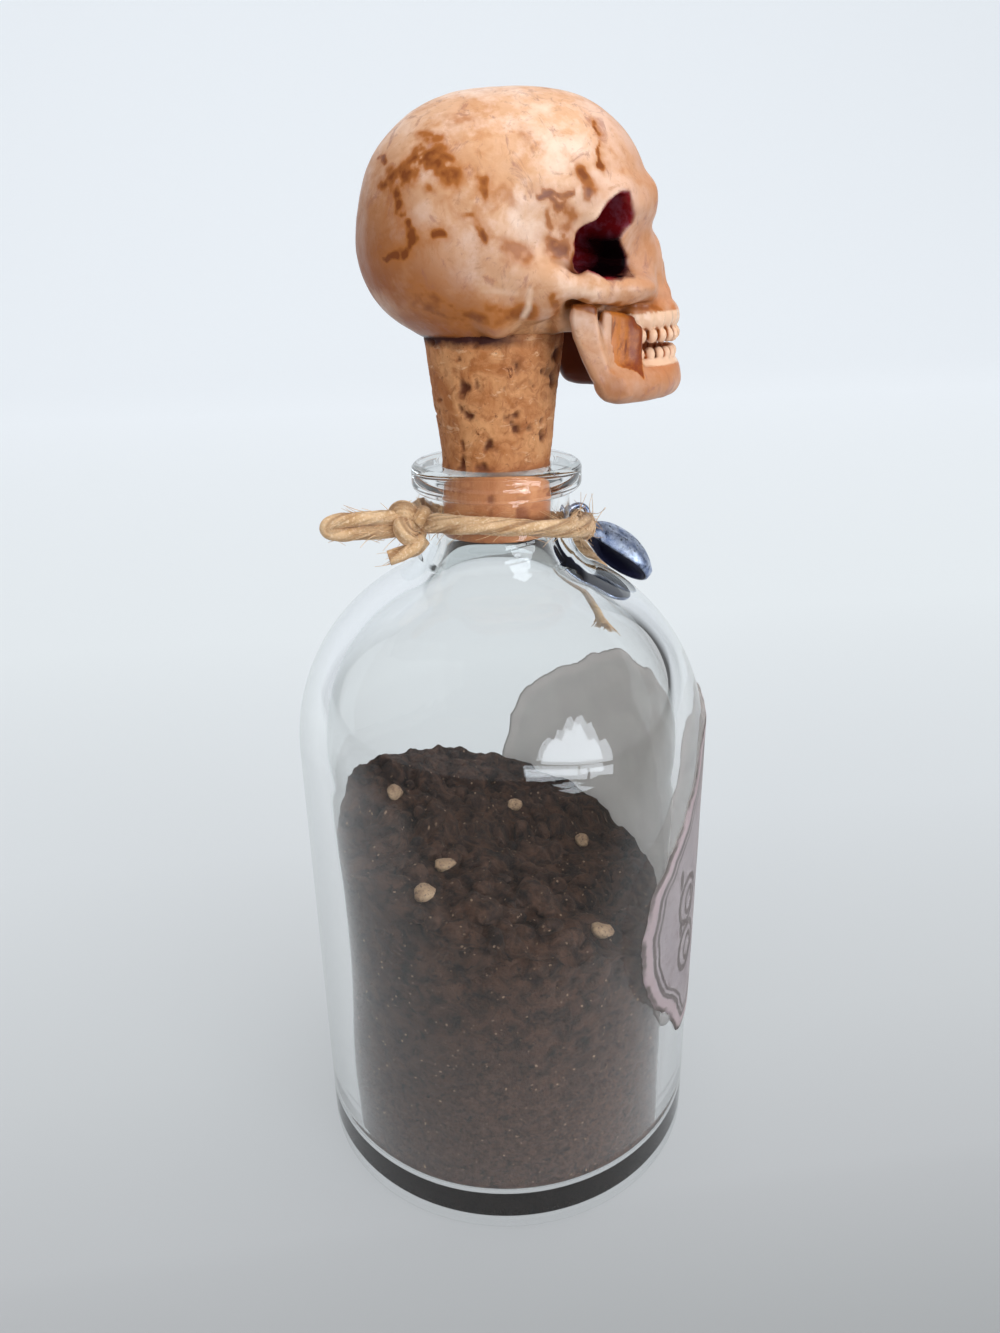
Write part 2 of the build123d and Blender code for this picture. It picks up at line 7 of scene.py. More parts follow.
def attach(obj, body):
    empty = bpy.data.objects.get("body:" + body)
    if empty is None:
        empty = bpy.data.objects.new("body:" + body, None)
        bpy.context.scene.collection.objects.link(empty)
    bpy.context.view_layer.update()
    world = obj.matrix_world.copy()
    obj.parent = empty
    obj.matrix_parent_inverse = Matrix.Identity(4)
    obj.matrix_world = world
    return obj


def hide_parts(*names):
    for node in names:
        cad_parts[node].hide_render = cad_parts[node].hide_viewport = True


# Poison bottle: the looks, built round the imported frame.
# Shapes are written in millimetres in the part's own axes and turned into metres in add_mesh.

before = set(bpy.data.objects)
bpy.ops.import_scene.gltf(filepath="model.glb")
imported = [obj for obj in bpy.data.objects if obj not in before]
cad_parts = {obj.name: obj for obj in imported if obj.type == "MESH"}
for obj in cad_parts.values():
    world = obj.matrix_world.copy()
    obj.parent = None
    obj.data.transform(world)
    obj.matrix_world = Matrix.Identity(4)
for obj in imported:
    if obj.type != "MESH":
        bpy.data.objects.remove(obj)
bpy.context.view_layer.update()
MM = 0.001


# Mesh helpers

def add_mesh(name, points, faces, smooth=True):
    mesh = bpy.data.meshes.new(name)
    mesh.from_pydata((np.asarray(points, dtype=float) * MM).tolist(), [], [list(face) for face in faces])
    mesh.validate()
    mesh.update()
    if smooth:
        mesh.shade_smooth()
    else:
        mesh.shade_flat()
    piece = bpy.data.objects.new(name, mesh)
    bpy.context.scene.collection.objects.link(piece)
    return piece


def paint(piece, name, values):
    # A number for each point of the mesh, read by its material
    layer = piece.data.attributes.new(name, "FLOAT", "POINT")
    layer.data.foreach_set("value", np.asarray(values, dtype=np.float32))


def arc(centre, radius, start, end, count):
    angles = np.radians(np.linspace(start, end, count))
    return [(centre[0] + radius * math.cos(a), centre[1] + radius * math.sin(a)) for a in angles]


def lathe(profile, turns):
    # Turns an outline of (radius, height) about the axis. Points on the axis become one point each.
    points, rows = [], []
    for radius, height in profile:
        if radius < 1e-6:
            rows.append([len(points)] * turns)
            points.append((0, 0, height))
        else:
            first = len(points)
            rows.append(list(range(first, first + turns)))
            for k in range(turns):
                angle = 2 * math.pi * k / turns
                points.append((radius * math.cos(angle), radius * math.sin(angle), height))
    faces = []
    for low, high in zip(rows, rows[1:]):
        for k in range(turns):
            n = (k + 1) % turns
            corners = [low[k], low[n], high[n], high[k]]
            face = [c for i, c in enumerate(corners) if c != corners[i - 1]]
            if len(face) > 2:
                faces.append(face)
    return np.array(points), faces


def tube_faces(first, rows, around):
    # Faces between rows of points that each run round a tube, from the point numbered first
    faces = []
    for i in range(rows - 1):
        row = first + i * around
        for k in range(around):
            n = (k + 1) % around
            faces.append((row + k, row + n, row + around + n, row + around + k))
    return faces


def fade(value, start, end):
    # 0 at the start and beyond it, 1 at the end and beyond it
    return np.clip((value - start) / (end - start), 0, 1)


def lattice_noise(points, size, seed):
    # Smooth noise between -1 and 1 with bumps about the given size
    cells = 32
    table = np.random.default_rng(seed).random((cells, cells, cells)) * 2 - 1
    place = np.asarray(points) / size
    low = np.floor(place).astype(int)
    part = place - low
    part = part * part * (3 - 2 * part)
    total = np.zeros(len(place))
    for i in (0, 1):
        for j in (0, 1):
            for k in (0, 1):
                corner = (low + (i, j, k)) % cells
                weight = np.ones(len(place))
                for axis, step in enumerate((i, j, k)):
                    weight *= part[:, axis] if step else 1 - part[:, axis]
                total += weight * table[corner[:, 0], corner[:, 1], corner[:, 2]]
    return total


def rough_noise(points, size, seed, layers=3):
    return sum(lattice_noise(points, size / 2 ** n, seed + n) / 2 ** n for n in range(layers))


def spline_span(a, b, c, d, per_span):
    # Points of a smooth curve from b to c, with a and d as the corners on either side
    bend, twist = 2 * a - 5 * b + 4 * c - d, 3 * b - a - 3 * c + d
    shares = np.arange(per_span) / per_span
    return [0.5 * (2 * b + (c - a) * t + bend * t ** 2 + twist * t ** 3) for t in shares]


def smooth_path(corners, per_span=10):
    corners = np.array(corners, dtype=float)
    first, last = 2 * corners[0] - corners[1], 2 * corners[-1] - corners[-2]
    run = np.concatenate([[first], corners, [last]])
    out = []
    for i in range(1, len(run) - 2):
        out += spline_span(*run[i - 1:i + 3], per_span)
    return np.array(out + [corners[-1]])


def smooth_closed(corners, per_span):
    corners = np.array(corners, dtype=float)
    out = []
    for i in range(len(corners)):
        out += spline_span(*(corners[(i + k - 1) % len(corners)] for k in range(4)), per_span)
    return np.array(out)


# Material helpers

class Shade:
    """A node material with one Principled surface, and short calls for the nodes that feed it."""

    def __init__(self, name, **surface):
        self.material = bpy.data.materials.new(name)
        self.material.use_nodes = True
        self.tree = self.material.node_tree
        self.surface = self.tree.nodes["Principled BSDF"]
        self.output = self.tree.nodes["Material Output"]
        for socket, value in surface.items():
            self.surface.inputs[socket.replace("_", " ")].default_value = value

    def node(self, kind, inputs=(), **settings):
        made = self.tree.nodes.new("ShaderNode" + kind)
        for key, value in settings.items():
            setattr(made, key, value)
        for key, value in dict(inputs).items():
            self.feed(made.inputs[key], value)
        return made

    def feed(self, socket, value):
        if isinstance(value, bpy.types.NodeSocket):
            self.tree.links.new(value, socket)
        else:
            socket.default_value = value

    def place(self, stretch=(1, 1, 1)):
        # Position on the piece in millimetres, which may be stretched
        coordinates = self.node("TexCoord")
        mapping = self.node("Mapping", {"Vector": coordinates.outputs["Object"],
                                        "Scale": [1000 * s for s in stretch]})
        return mapping.outputs["Vector"]

    def noise(self, size, detail=3.0, rough=0.55, twist=0.0, stretch=(1, 1, 1)):
        made = self.node("TexNoise", {"Vector": self.place(stretch), "Scale": 1 / size, "Detail": detail,
                                      "Roughness": rough, "Distortion": twist})
        return made.outputs["Fac"]

    def cells(self, size):
        return self.node("TexVoronoi", {"Vector": self.place(), "Scale": 1 / size}).outputs["Distance"]

    def spots(self, low, high, *noise, **more):
        # Noise cut to soft-edged spots
        return self.ramp(self.noise(*noise, **more), low, high)

    def attribute(self, name):
        return self.node("Attribute", attribute_name=name).outputs["Fac"]

    def ramp(self, value, low, high, to_low=0.0, to_high=1.0):
        made = self.node("MapRange", {"Value": value, "From Min": low, "From Max": high,
                                      "To Min": to_low, "To Max": to_high}, clamp=True)
        return made.outputs["Result"]

    def sum(self, first, second, operation="ADD"):
        made = self.node("Math", operation=operation)
        self.feed(made.inputs[0], first)
        self.feed(made.inputs[1], second)
        return made.outputs[0]

    def times(self, first, second):
        return self.sum(first, second, "MULTIPLY")

    def blend(self, factor, first, second):
        made = self.node("Mix", data_type="RGBA")
        self.feed(made.inputs["Factor"], factor)
        self.feed(made.inputs[6], first)
        self.feed(made.inputs[7], second)
        return made.outputs[2]

    def over(self, base, factor, colour, amount=1.0):
        # Lays a colour over the base, as far as the factor and the amount go
        if amount != 1.0:
            factor = self.times(factor, amount)
        return self.blend(factor, base, colour)

    def bump(self, height, depth, strength=1.0):
        # Depth in millimetres
        made = self.node("Bump", {"Height": height, "Distance": depth * MM, "Strength": strength})
        self.feed(self.surface.inputs["Normal"], made.outputs["Normal"])

    def colour(self, value):
        self.feed(self.surface.inputs["Base Color"], value)

    def roughness(self, value):
        self.feed(self.surface.inputs["Roughness"], value)

    def mix_surface(self, factor, other):
        # The finished surface, turning into another shader as the factor goes to 1
        mixed = self.node("MixShader", {0: factor, 1: self.surface.outputs[0], 2: other.outputs[0]})
        self.tree.links.new(mixed.outputs[0], self.output.inputs["Surface"])


def rgb(red, green, blue):
    # A colour as it shows on screen, 0 to 255, in the linear values that a shader takes
    out = []
    for part in (red, green, blue):
        share = part / 255
        out.append(share / 12.92 if share <= 0.04045 else ((share + 0.055) / 1.055) ** 2.4)
    return (*out, 1.0)


# Shapes as distance fields, for the cast skull and jaw

def outline_gap(u, v, outline):
    # Distance from an outline on a plane, negative inside it
    gap = np.full(np.broadcast(u, v).shape, 1e9)
    inside = np.zeros(gap.shape, dtype=bool)
    for a, b in zip(outline, np.roll(outline, -1, axis=0)):
        along = b - a
        share = np.clip(((u - a[0]) * along[0] + (v - a[1]) * along[1]) / (along @ along), 0, 1)
        gap = np.minimum(gap, (u - a[0] - share * along[0]) ** 2 + (v - a[1] - share * along[1]) ** 2)
        if abs(along[1]) > 1e-9:
            inside ^= ((a[1] > v) != (b[1] > v)) & (u < a[0] + (v - a[1]) / along[1] * along[0])
    return np.sqrt(gap) * np.where(inside, -1, 1)


class Field:
    """Half of a mirrored solid as a grid of distances, negative inside, y from 0 outwards."""

    def __init__(self, low, high, step):
        self.low, self.step = np.array(low, dtype=float), step
        self.axes = [np.arange(a, b + step / 2, step) for a, b in zip(low, high)]
        self.value = np.full([len(axis) for axis in self.axes], 9.0, dtype=np.float32)

    def window(self, low, high, margin):
        cuts = []
        for axis, a, b in zip(self.axes, low, high):
            first = int(np.searchsorted(axis, a - margin))
            last = int(np.searchsorted(axis, b + margin))
            cuts.append(slice(max(first, 0), max(last, 1)))
        x, y, z = [axis[cut] for axis, cut in zip(self.axes, cuts)]
        return tuple(cuts), x[:, None, None], y[None, :, None], z[None, None, :]

    def join(self, shape, low, high, soft=0.5, margin=2.5, carve=False):
        cuts, x, y, z = self.window(low, high, margin)
        old = self.value[cuts]
        new = shape(x, y, z)
        sign = -1 if carve else 1
        old = old * sign
        share = np.clip(0.5 + 0.5 * (new - old) / soft, 0, 1)
        mixed = new * (1 - share) + old * share - soft * share * (1 - share)
        self.value[cuts] = mixed * sign

    def ball(self, centre, half, soft=0.5, carve=False, turn=0.0):
        c, s = math.cos(math.radians(turn)), math.sin(math.radians(turn))

        def shape(x, y, z):
            dx, dy, dz = x - centre[0], y - centre[1], z - centre[2]
            u, v = dx * c + dy * s, dy * c - dx * s
            outer = np.sqrt((u / half[0]) ** 2 + (v / half[1]) ** 2 + (dz / half[2]) ** 2)
            inner = np.sqrt((u / half[0] ** 2) ** 2 + (v / half[1] ** 2) ** 2 + (dz / half[2] ** 2) ** 2)
            return outer * (outer - 1) / np.maximum(inner, 1e-6)
        reach = (max(half[:2]),) * 2 + (half[2],)
        self.join(shape, np.subtract(centre, reach), np.add(centre, reach), soft, carve=carve)

    def rod(self, start, end, start_radius, end_radius, soft=0.5, carve=False, stretch=(1, 1, 1)):
        # A round-ended rod, made wider along an axis by its stretch
        a, b, k = np.array(start, float), np.array(end, float), np.array(stretch, float)
        along = (b - a) / k

        def shape(x, y, z):
            px, py, pz = (x - a[0]) / k[0], (y - a[1]) / k[1], (z - a[2]) / k[2]
            share = np.clip((px * along[0] + py * along[1] + pz * along[2]) / (along @ along), 0, 1)
            gap = np.sqrt((px - share * along[0]) ** 2 + (py - share * along[1]) ** 2
                          + (pz - share * along[2]) ** 2)
            return (gap - (start_radius + (end_radius - start_radius) * share)) * k.min()
        reach = max(start_radius, end_radius) * k
        self.join(shape, np.minimum(a, b) - reach, np.maximum(a, b) + reach, soft, carve=carve)

    def block(self, centre, half, rounding, soft=0.5):
        # A rounded block, square to the axes
        def shape(x, y, z):
            q = [np.abs(p - c) - h + rounding for p, c, h in zip((x, y, z), centre, half)]
            out = np.sqrt(sum(np.maximum(part, 0) ** 2 for part in q))
            return out + np.minimum(np.maximum(np.maximum(q[0], q[1]), q[2]), 0) - rounding
        reach = float(np.linalg.norm(half))
        self.join(shape, np.subtract(centre, reach), np.add(centre, reach), soft, margin=1.5)

    def prism(self, origin, across, upward, outline, near, far, soft=0.5, carve=False, rounding=0.3,
              narrow=0.0):
        # An outline drawn on a plane and drawn out along its normal, which may narrow as it goes in
        u_way, v_way = np.array(across, float), np.array(upward, float)
        w_way = np.cross(u_way, v_way)
        shape_points = np.array(outline, float)

        def shape(x, y, z):
            dx, dy, dz = x - origin[0], y - origin[1], z - origin[2]
            u, v, w = (dx * way[0] + dy * way[1] + dz * way[2] for way in (u_way, v_way, w_way))
            size = np.clip(1 + narrow * np.maximum(w, 0), 0.2, 1)
            flat = outline_gap(u / size, v / size, shape_points) * size + rounding
            caps = np.maximum(near - w, w - far) + rounding
            return (np.sqrt(np.maximum(flat, 0) ** 2 + np.maximum(caps, 0) ** 2)
                    + np.minimum(np.maximum(flat, caps), 0) - rounding)
        corners = [np.array(origin) + u_way * u + v_way * v + w_way * w
                   for u, v in outline for w in (near, far)]
        self.join(shape, np.min(corners, axis=0), np.max(corners, axis=0), soft, margin=1.5, carve=carve)

    def skin(self):
        """Points and four-sided faces of the whole mirrored surface, and the field to look things up in."""
        whole = np.concatenate([self.value[:, :0:-1, :], self.value], axis=1)
        low = self.low.copy()
        low[1] = -self.axes[1][-1]
        spots, index = self.crossed_cells(whole)
        return spots * self.step + low, self.faces_between(whole < 0, index), whole, low

    def crossed_cells(self, whole):
        # One point for each cell that the surface passes through, in the middle of its crossings
        inside = whole < 0
        shape = tuple(n - 1 for n in whole.shape)
        total = np.zeros(shape + (3,), dtype=np.float32)
        count = np.zeros(shape, dtype=np.int8)
        for axis in range(3):
            others = [a for a in range(3) if a != axis]
            for i in (0, 1):
                for j in (0, 1):
                    start = [0, 0, 0]
                    start[others[0]], start[others[1]] = i, j
                    near = tuple(slice(o, o + n) for o, n in zip(start, shape))
                    start[axis] = 1
                    far = tuple(slice(o, o + n) for o, n in zip(start, shape))
                    cross = inside[near] != inside[far]
                    a, b = whole[near][cross], whole[far][cross]
                    spot = np.zeros((len(a), 3), dtype=np.float32)
                    spot[:, axis] = a / (a - b)
                    spot[:, others[0]], spot[:, others[1]] = i, j
                    total[cross] += spot
                    count[cross] += 1
        active = count > 0
        index = np.full(shape, -1, dtype=np.int64)
        index[active] = np.arange(active.sum())
        return np.argwhere(active) + total[active] / count[active][:, None], index

    def faces_between(self, inside, index):
        faces = []
        for axis in range(3):
            first, second = ((1, 2), (2, 0), (0, 1))[axis]
            near = [slice(1, n - 1) for n in inside.shape]
            far = list(near)
            near[axis] = slice(0, inside.shape[axis] - 1)
            far[axis] = slice(1, inside.shape[axis])
            a, b = inside[tuple(near)], inside[tuple(far)]
            cells = np.argwhere(a != b)
            flip = b[a != b]
            corners = []
            for du, dv in ((0, 0), (1, 0), (1, 1), (0, 1)):
                spot = cells.copy()
                spot[:, first] += du
                spot[:, second] += dv
                corners.append(index[spot[:, 0], spot[:, 1], spot[:, 2]])
            quads = np.stack(corners, axis=1)
            quads[flip] = quads[flip][:, ::-1]
            faces.append(quads)
        return np.concatenate(faces)


def look_up(whole, low, step, points):
    # The field's value at any place, between the points of its grid
    place = (points - low) / step
    place = np.clip(place, 0, np.array(whole.shape) - 1.001)
    base = place.astype(int)
    part = place - base
    total = np.zeros(len(points))
    for i in (0, 1):
        for j in (0, 1):
            for k in (0, 1):
                weight = np.ones(len(points))
                for axis, step_on in enumerate((i, j, k)):
                    weight *= part[:, axis] if step_on else 1 - part[:, axis]
                total += weight * whole[base[:, 0] + i, base[:, 1] + j, base[:, 2] + k]
    return total


def outward(whole, low, step, points):
    # The way out of the solid at each point
    reach = np.eye(3) * step * 1.5
    slope = np.stack([look_up(whole, low, step, points + way) - look_up(whole, low, step, points - way)
                      for way in reach], axis=1)
    return slope / np.maximum(np.linalg.norm(slope, axis=1, keepdims=True), 1e-6)


# Skull, in the part's own places

SKULL_STEP = 0.2
PIVOT_X, PIVOT_Z = 8.0, 110.6
TEETH = 14
ARCH_CENTRE_X = 12.8
UPPER_GUM_Z, UPPER_TEETH_Z = 110.3, 108.3
LOWER_GUM_Z, LOWER_TEETH_Z = 104.7, 106.3
SEAT_RADIUS = 7.95
JAW_RIM = [(10.8, 9.5, 103.5), (13.2, 8.7, 103.5), (15.8, 7.0, 103.4), (18.0, 4.7, 103.4),
           (19.3, 2.2, 103.4), (19.7, 0.0, 103.4)]


def tooth_places(half_length, half_width, spread):
    # Places along one side of the arch from the front, and the way that each tooth faces
    for index in range(TEETH // 2):
        angle = math.radians(spread * (2 * index + 1) / TEETH)
        x = ARCH_CENTRE_X + half_length * math.cos(angle)
        y = half_width * math.sin(angle)
        facing = math.degrees(math.atan2(math.sin(angle) / half_width, math.cos(angle) / half_length))
        yield x, y, facing


# The mouth of the eye socket on a plane turned 45 degrees: towards the nose, and up
SOCKET_PLACE = (10.9, 6.8, 118.3)
SOCKET_ACROSS = (math.sqrt(0.5), -math.sqrt(0.5), 0.0)
SOCKET_NARROW = -0.075
SOCKET_OUTLINE = [
    (-1.3, 3.8), (-1.1, 3.2), (-0.7, 2.5), (-0.3, 1.9), (0.0, 1.2), (-0.6, 0.4), (-1.0, -0.3),
    (-0.2, -1.1), (1.3, -2.1), (1.2, -2.9), (-0.6, -3.6), (-1.7, -3.7), (-2.5, -3.8), (-3.8, -3.8),
    (-5.0, -3.1), (-5.4, -2.3), (-5.2, -1.5), (-5.4, -0.6), (-5.3, 0.2), (-4.7, 1.1), (-4.0, 2.0),
    (-3.3, 2.9), (-2.6, 3.5), (-2.0, 3.8)]
# The upright branch of the jaw, from the side
RAMUS_OUTLINE = [
    (6.75, 112.0), (6.55, 110.6), (7.0, 108.6), (7.9, 106.4), (8.9, 104.5), (10.2, 102.8), (11.8, 102.2),
    (13.2, 102.6), (12.2, 104.7), (10.8, 105.4), (9.95, 108.0), (9.4, 110.4), (9.2, 111.7), (8.4, 112.15)]


def add_head(skull):
    # Braincase: the dome, the forehead and the back of the head
    skull.ball((-0.9, 0, 119.8), (13.4, 12.3, 12.6), soft=0.8)
    skull.ball((5.0, 0, 121.0), (12.0, 11.5, 11.5), soft=2.0)
    skull.ball((-3.5, 0, 117.0), (10.9, 11.3, 8.9), soft=1.5)
    # Brow band, thick over each eye
    skull.ball((10.2, 0, 121.0), (6.9, 10.6, 2.5), soft=1.8)
    skull.rod((15.9, 1.0, 120.9), (15.0, 4.2, 122.4), 1.2, 1.25, soft=1.6)
    skull.rod((15.0, 4.2, 122.4), (11.4, 8.6, 122.1), 1.25, 1.2, soft=1.6)
    skull.rod((11.6, 8.6, 122.2), (9.0, 10.2, 119.6), 1.2, 1.0, soft=1.2)
    # Midface, upper jaw and the block that the lower jaw hangs from
    skull.ball((12.2, 0, 115.4), (6.4, 6.9, 5.6), soft=1.2)
    skull.block((9.8, 0, 113.2), (6.4, 5.4, 3.4), 1.8, soft=1.2)
    skull.block((7.8, 0, 111.6), (2.7, 8.4, 2.5), 0.8, soft=0.6)
    skull.ball((ARCH_CENTRE_X, 0, 112.3), (7.1, 6.2, 2.6), soft=1.0)
    # Temples drawn in behind the eyes
    skull.ball((5.6, 14.6, 117.6), (5.4, 3.1, 4.4), soft=2.6, carve=True)


def add_cheeks(skull):
    # Cheekbone, the rim beside the eye, and the arch back to the ear
    skull.ball((12.3, 7.9, 113.3), (3.8, 2.9, 1.5), soft=1.3)
    skull.rod((11.2, 8.8, 113.7), (15.8, 4.6, 113.6), 1.0, 1.0, soft=1.2)
    skull.rod((9.0, 10.2, 119.6), (8.8, 10.5, 115.6), 1.0, 1.1, soft=1.0)
    skull.rod((8.8, 10.5, 115.6), (10.4, 9.8, 113.6), 1.1, 1.2, soft=1.0)
    skull.rod((0.6, 10.6, 115.4), (4.6, 11.1, 114.0), 0.9, 1.15, soft=1.6, stretch=(1, 0.8, 1.1))
    skull.rod((4.6, 11.1, 114.0), (8.6, 11.0, 113.3), 1.15, 0.95, soft=1.0, stretch=(1, 0.8, 1.0))
    skull.rod((8.6, 11.0, 113.3), (12.4, 9.0, 113.1), 0.95, 1.05, soft=1.2, stretch=(1, 0.85, 1.0))
    skull.rod((12.4, 9.0, 113.1), (15.8, 6.3, 112.9), 1.05, 0.95, soft=1.2, stretch=(1, 0.9, 1.0))
    skull.ball((2.6, 9.0, 112.8), (3.3, 2.2, 2.6), soft=1.8)
    # Seat on the cork, and the mastoid behind the ear
    skull.ball((0.2, 0, 110.6), (8.7, 8.7, 3.3), soft=1.2)
    skull.ball((-0.8, 8.7, 111.4), (2.1, 1.7, 2.7), soft=1.3)


def add_eyes_and_nose(skull):
    # Eye sockets: a leaning rounded mouth that narrows inwards
    skull.prism(SOCKET_PLACE, SOCKET_ACROSS, (0, 0, 1), SOCKET_OUTLINE, -9, 5.6, soft=0.7, carve=True,
                rounding=1.6, narrow=SOCKET_NARROW)
    # Nose: bridge, a small overhanging tip and the sides of the opening
    skull.rod((15.9, 0, 121.0), (16.2, 0, 118.8), 1.2, 0.95, soft=0.9)
    skull.rod((16.2, 0, 118.8), (18.4, 0, 115.0), 0.95, 1.0, soft=0.8)
    skull.rod((17.0, 1.4, 117.4), (17.3, 2.6, 114.0), 1.0, 1.0, soft=0.9)
    skull.rod((18.1, 1.2, 115.0), (18.4, 2.2, 112.2), 0.75, 0.85, soft=0.7)
    skull.rod((18.4, 2.2, 112.2), (18.9, 0, 111.0), 0.85, 0.7, soft=0.7)
    skull.ball((19.5, 0.0, 113.2), (2.1, 1.35, 1.35), soft=0.5, carve=True)
    skull.ball((19.4, 0.7, 114.5), (1.7, 0.55, 1.2), soft=0.4, carve=True)
    # Hollow of the cheek over the side teeth
    skull.ball((14.9, 8.0, 110.6), (3.4, 2.3, 1.1), soft=0.9, carve=True)


def add_upper_teeth(skull):
    # A smooth gum with a slight swell for each root, and small bead-like teeth under it
    for x, y, facing in tooth_places(7.3, 6.15, 84):
        skull.ball((x - 0.15, y * 0.98, UPPER_GUM_Z), (1.05, 1.0, 1.35), soft=0.9, turn=facing)
        skull.ball((x + 0.2, y * 1.02, UPPER_GUM_Z - 0.4), (0.72, 0.56, 0.95), soft=0.5, turn=facing)
    widths = (0.66, 0.58, 0.56, 0.58, 0.6, 0.62, 0.6)
    lengths = (0.06, 0.0, 0.12, 0.04, 0.02, 0.0, 0.0)
    for (x, y, facing), width, longer in zip(tooth_places(7.6, 6.4, 78), widths, lengths):
        half = (0.78, width * 1.04, 0.82 + longer / 2)
        skull.ball((x + 0.05, y, UPPER_TEETH_Z - longer / 2), half, soft=0.1, turn=facing)


def sculpt_cranium():
    skull = Field((-15.4, 0, 106.8), (22.4, 13.6, 133.8), SKULL_STEP)
    for add in (add_head, add_cheeks, add_eyes_and_nose, add_upper_teeth):
        add(skull)
    # The joint for the jaw, and the hole for the cork
    skull.rod((PIVOT_X, 7.4, PIVOT_Z), (PIVOT_X, 9.4, PIVOT_Z), 0.88, 0.88, soft=0.2, carve=True)
    skull.rod((0.0, 0, 103.5), (0.0, 0, 101.4), SEAT_RADIUS, SEAT_RADIUS, soft=0.3, carve=True)
    return skull


def sculpt_jaw():
    jaw = Field((5.6, 0, 100.4), (22.6, 11.4, 113.0), SKULL_STEP)
    rim = smooth_path(JAW_RIM, 3)
    for start, end in zip(rim, rim[1:]):
        jaw.rod(start, end, 1.15, 1.15, soft=1.1, stretch=(1, 1, 1.2))
    # Chin
    jaw.ball((19.6, 0, 103.2), (1.6, 3.0, 1.5), soft=1.2)
    # Upright branch: a flat strip, with a web that slopes in from it to the teeth
    jaw.prism((0, 0, 0), (1, 0, 0), (0, 0, 1), RAMUS_OUTLINE, -10.6, -8.85, soft=0.5, rounding=0.5)
    for x, y, top in ((10.3, 9.1, 110.7), (11.3, 8.75, 110.5), (12.3, 8.4, 110.3), (13.3, 8.05, 110.0),
                      (14.2, 7.8, 109.0)):
        jaw.rod((x, y, 103.6), (x + 0.1, y, top), 0.66, 0.55, soft=0.9)
    # Gum ridge and lower teeth
    for x, y, facing in tooth_places(7.2, 6.05, 84):
        jaw.ball((x, y, LOWER_GUM_Z), (1.0, 1.1, 1.15), soft=1.0, turn=facing)
        jaw.ball((x + 0.15, y * 1.02, LOWER_GUM_Z), (0.75, 0.55, 0.95), soft=0.5, turn=facing)
    widths = (0.5, 0.52, 0.54, 0.57, 0.6, 0.62, 0.6)
    for (x, y, facing), width in zip(tooth_places(7.4, 6.25, 78), widths):
        jaw.ball((x, y, LOWER_TEETH_Z), (0.72, width * 1.04, 0.82), soft=0.1, turn=facing)
    # Studs
    jaw.rod((PIVOT_X, 8.3, PIVOT_Z), (PIVOT_X, 9.0, PIVOT_Z), 0.72, 0.72, soft=0.2)
    return jaw


# Stains rubbed into the near and far sides: places (x, z) of short strokes, their width and strength
STAIN_STROKES = [
    ([(-11.0, 123.6), (-9.0, 124.5), (-7.4, 125.8), (-6.0, 125.4), (-5.6, 123.8)], 1.25, 0.85),
    ([(-10.4, 122.8), (-10.4, 120.9)], 0.6, 1.0),
    ([(-9.8, 119.8), (-9.4, 118.1), (-10.0, 117.1), (-12.0, 116.7)], 0.55, 1.0),
    ([(-7.4, 118.7), (-6.6, 118.9)], 0.5, 0.9),
    ([(-7.7, 122.6), (-7.5, 122.4)], 0.5, 0.5),
    ([(-2.6, 123.4), (-2.5, 122.0)], 0.7, 0.75),
    ([(-3.9, 120.2), (-2.5, 118.2)], 0.55, 0.8),
    ([(-0.8, 122.6), (0.6, 121.2)], 0.6, 0.45),
    ([(-0.4, 117.2), (1.9, 116.6)], 1.3, 0.5),
    ([(2.6, 122.0), (4.0, 122.2), (6.2, 122.0)], 0.5, 0.85),
    ([(7.4, 123.8), (8.3, 122.3)], 0.8, 0.8),
    ([(9.5, 128.4), (9.55, 124.4)], 0.24, 1.0),
    ([(3.6, 120.6), (4.5, 119.2)], 0.6, 0.5),
    ([(4.4, 117.4), (7.0, 116.4)], 1.0, 0.9),
    ([(-5.0, 128.7), (-3.6, 129.0)], 0.9, 0.4),
    ([(1.6, 127.6), (2.2, 127.4)], 0.5, 0.35),
    ([(-11.6, 125.6), (-11.4, 125.2)], 0.4, 0.8),
    ([(-9.0, 112.8), (-4.0, 110.6), (2.0, 111.2)], 1.4, 0.7),
    ([(6.2, 120.8), (6.1, 118.2), (6.6, 116.8)], 1.7, 0.5), ([(5.6, 116.6), (6.8, 116.4)], 0.8, 0.75),
    ([(6.4, 112.0), (10.0, 111.7), (14.0, 111.5), (17.4, 110.9)], 0.42, 0.9),
    ([(12.6, 110.6), (14.2, 110.2)], 0.8, 0.6), ([(4.6, 113.0), (5.0, 111.2)], 0.7, 0.55),
    ([(3.0, 122.6), (5.0, 121.0), (6.4, 122.2)], 0.45, 0.7), ([(-8.0, 127.4), (-6.2, 127.0)], 0.8, 0.5),
]

# A pale scratch on the side of the head, and pale rubbed edges of the brow and the arch
SCRATCHES = [
    ([(2.1, 113.3), (2.0, 111.6), (1.3, 109.9)], 0.36, 1.0), ([(-2.6, 113.5), (0.8, 113.2)], 0.3, 0.5),
    ([(6.9, 119.4), (9.2, 120.6), (10.8, 121.9)], 0.5, 0.55), ([(5.0, 113.9), (9.0, 112.9)], 0.4, 0.5)]


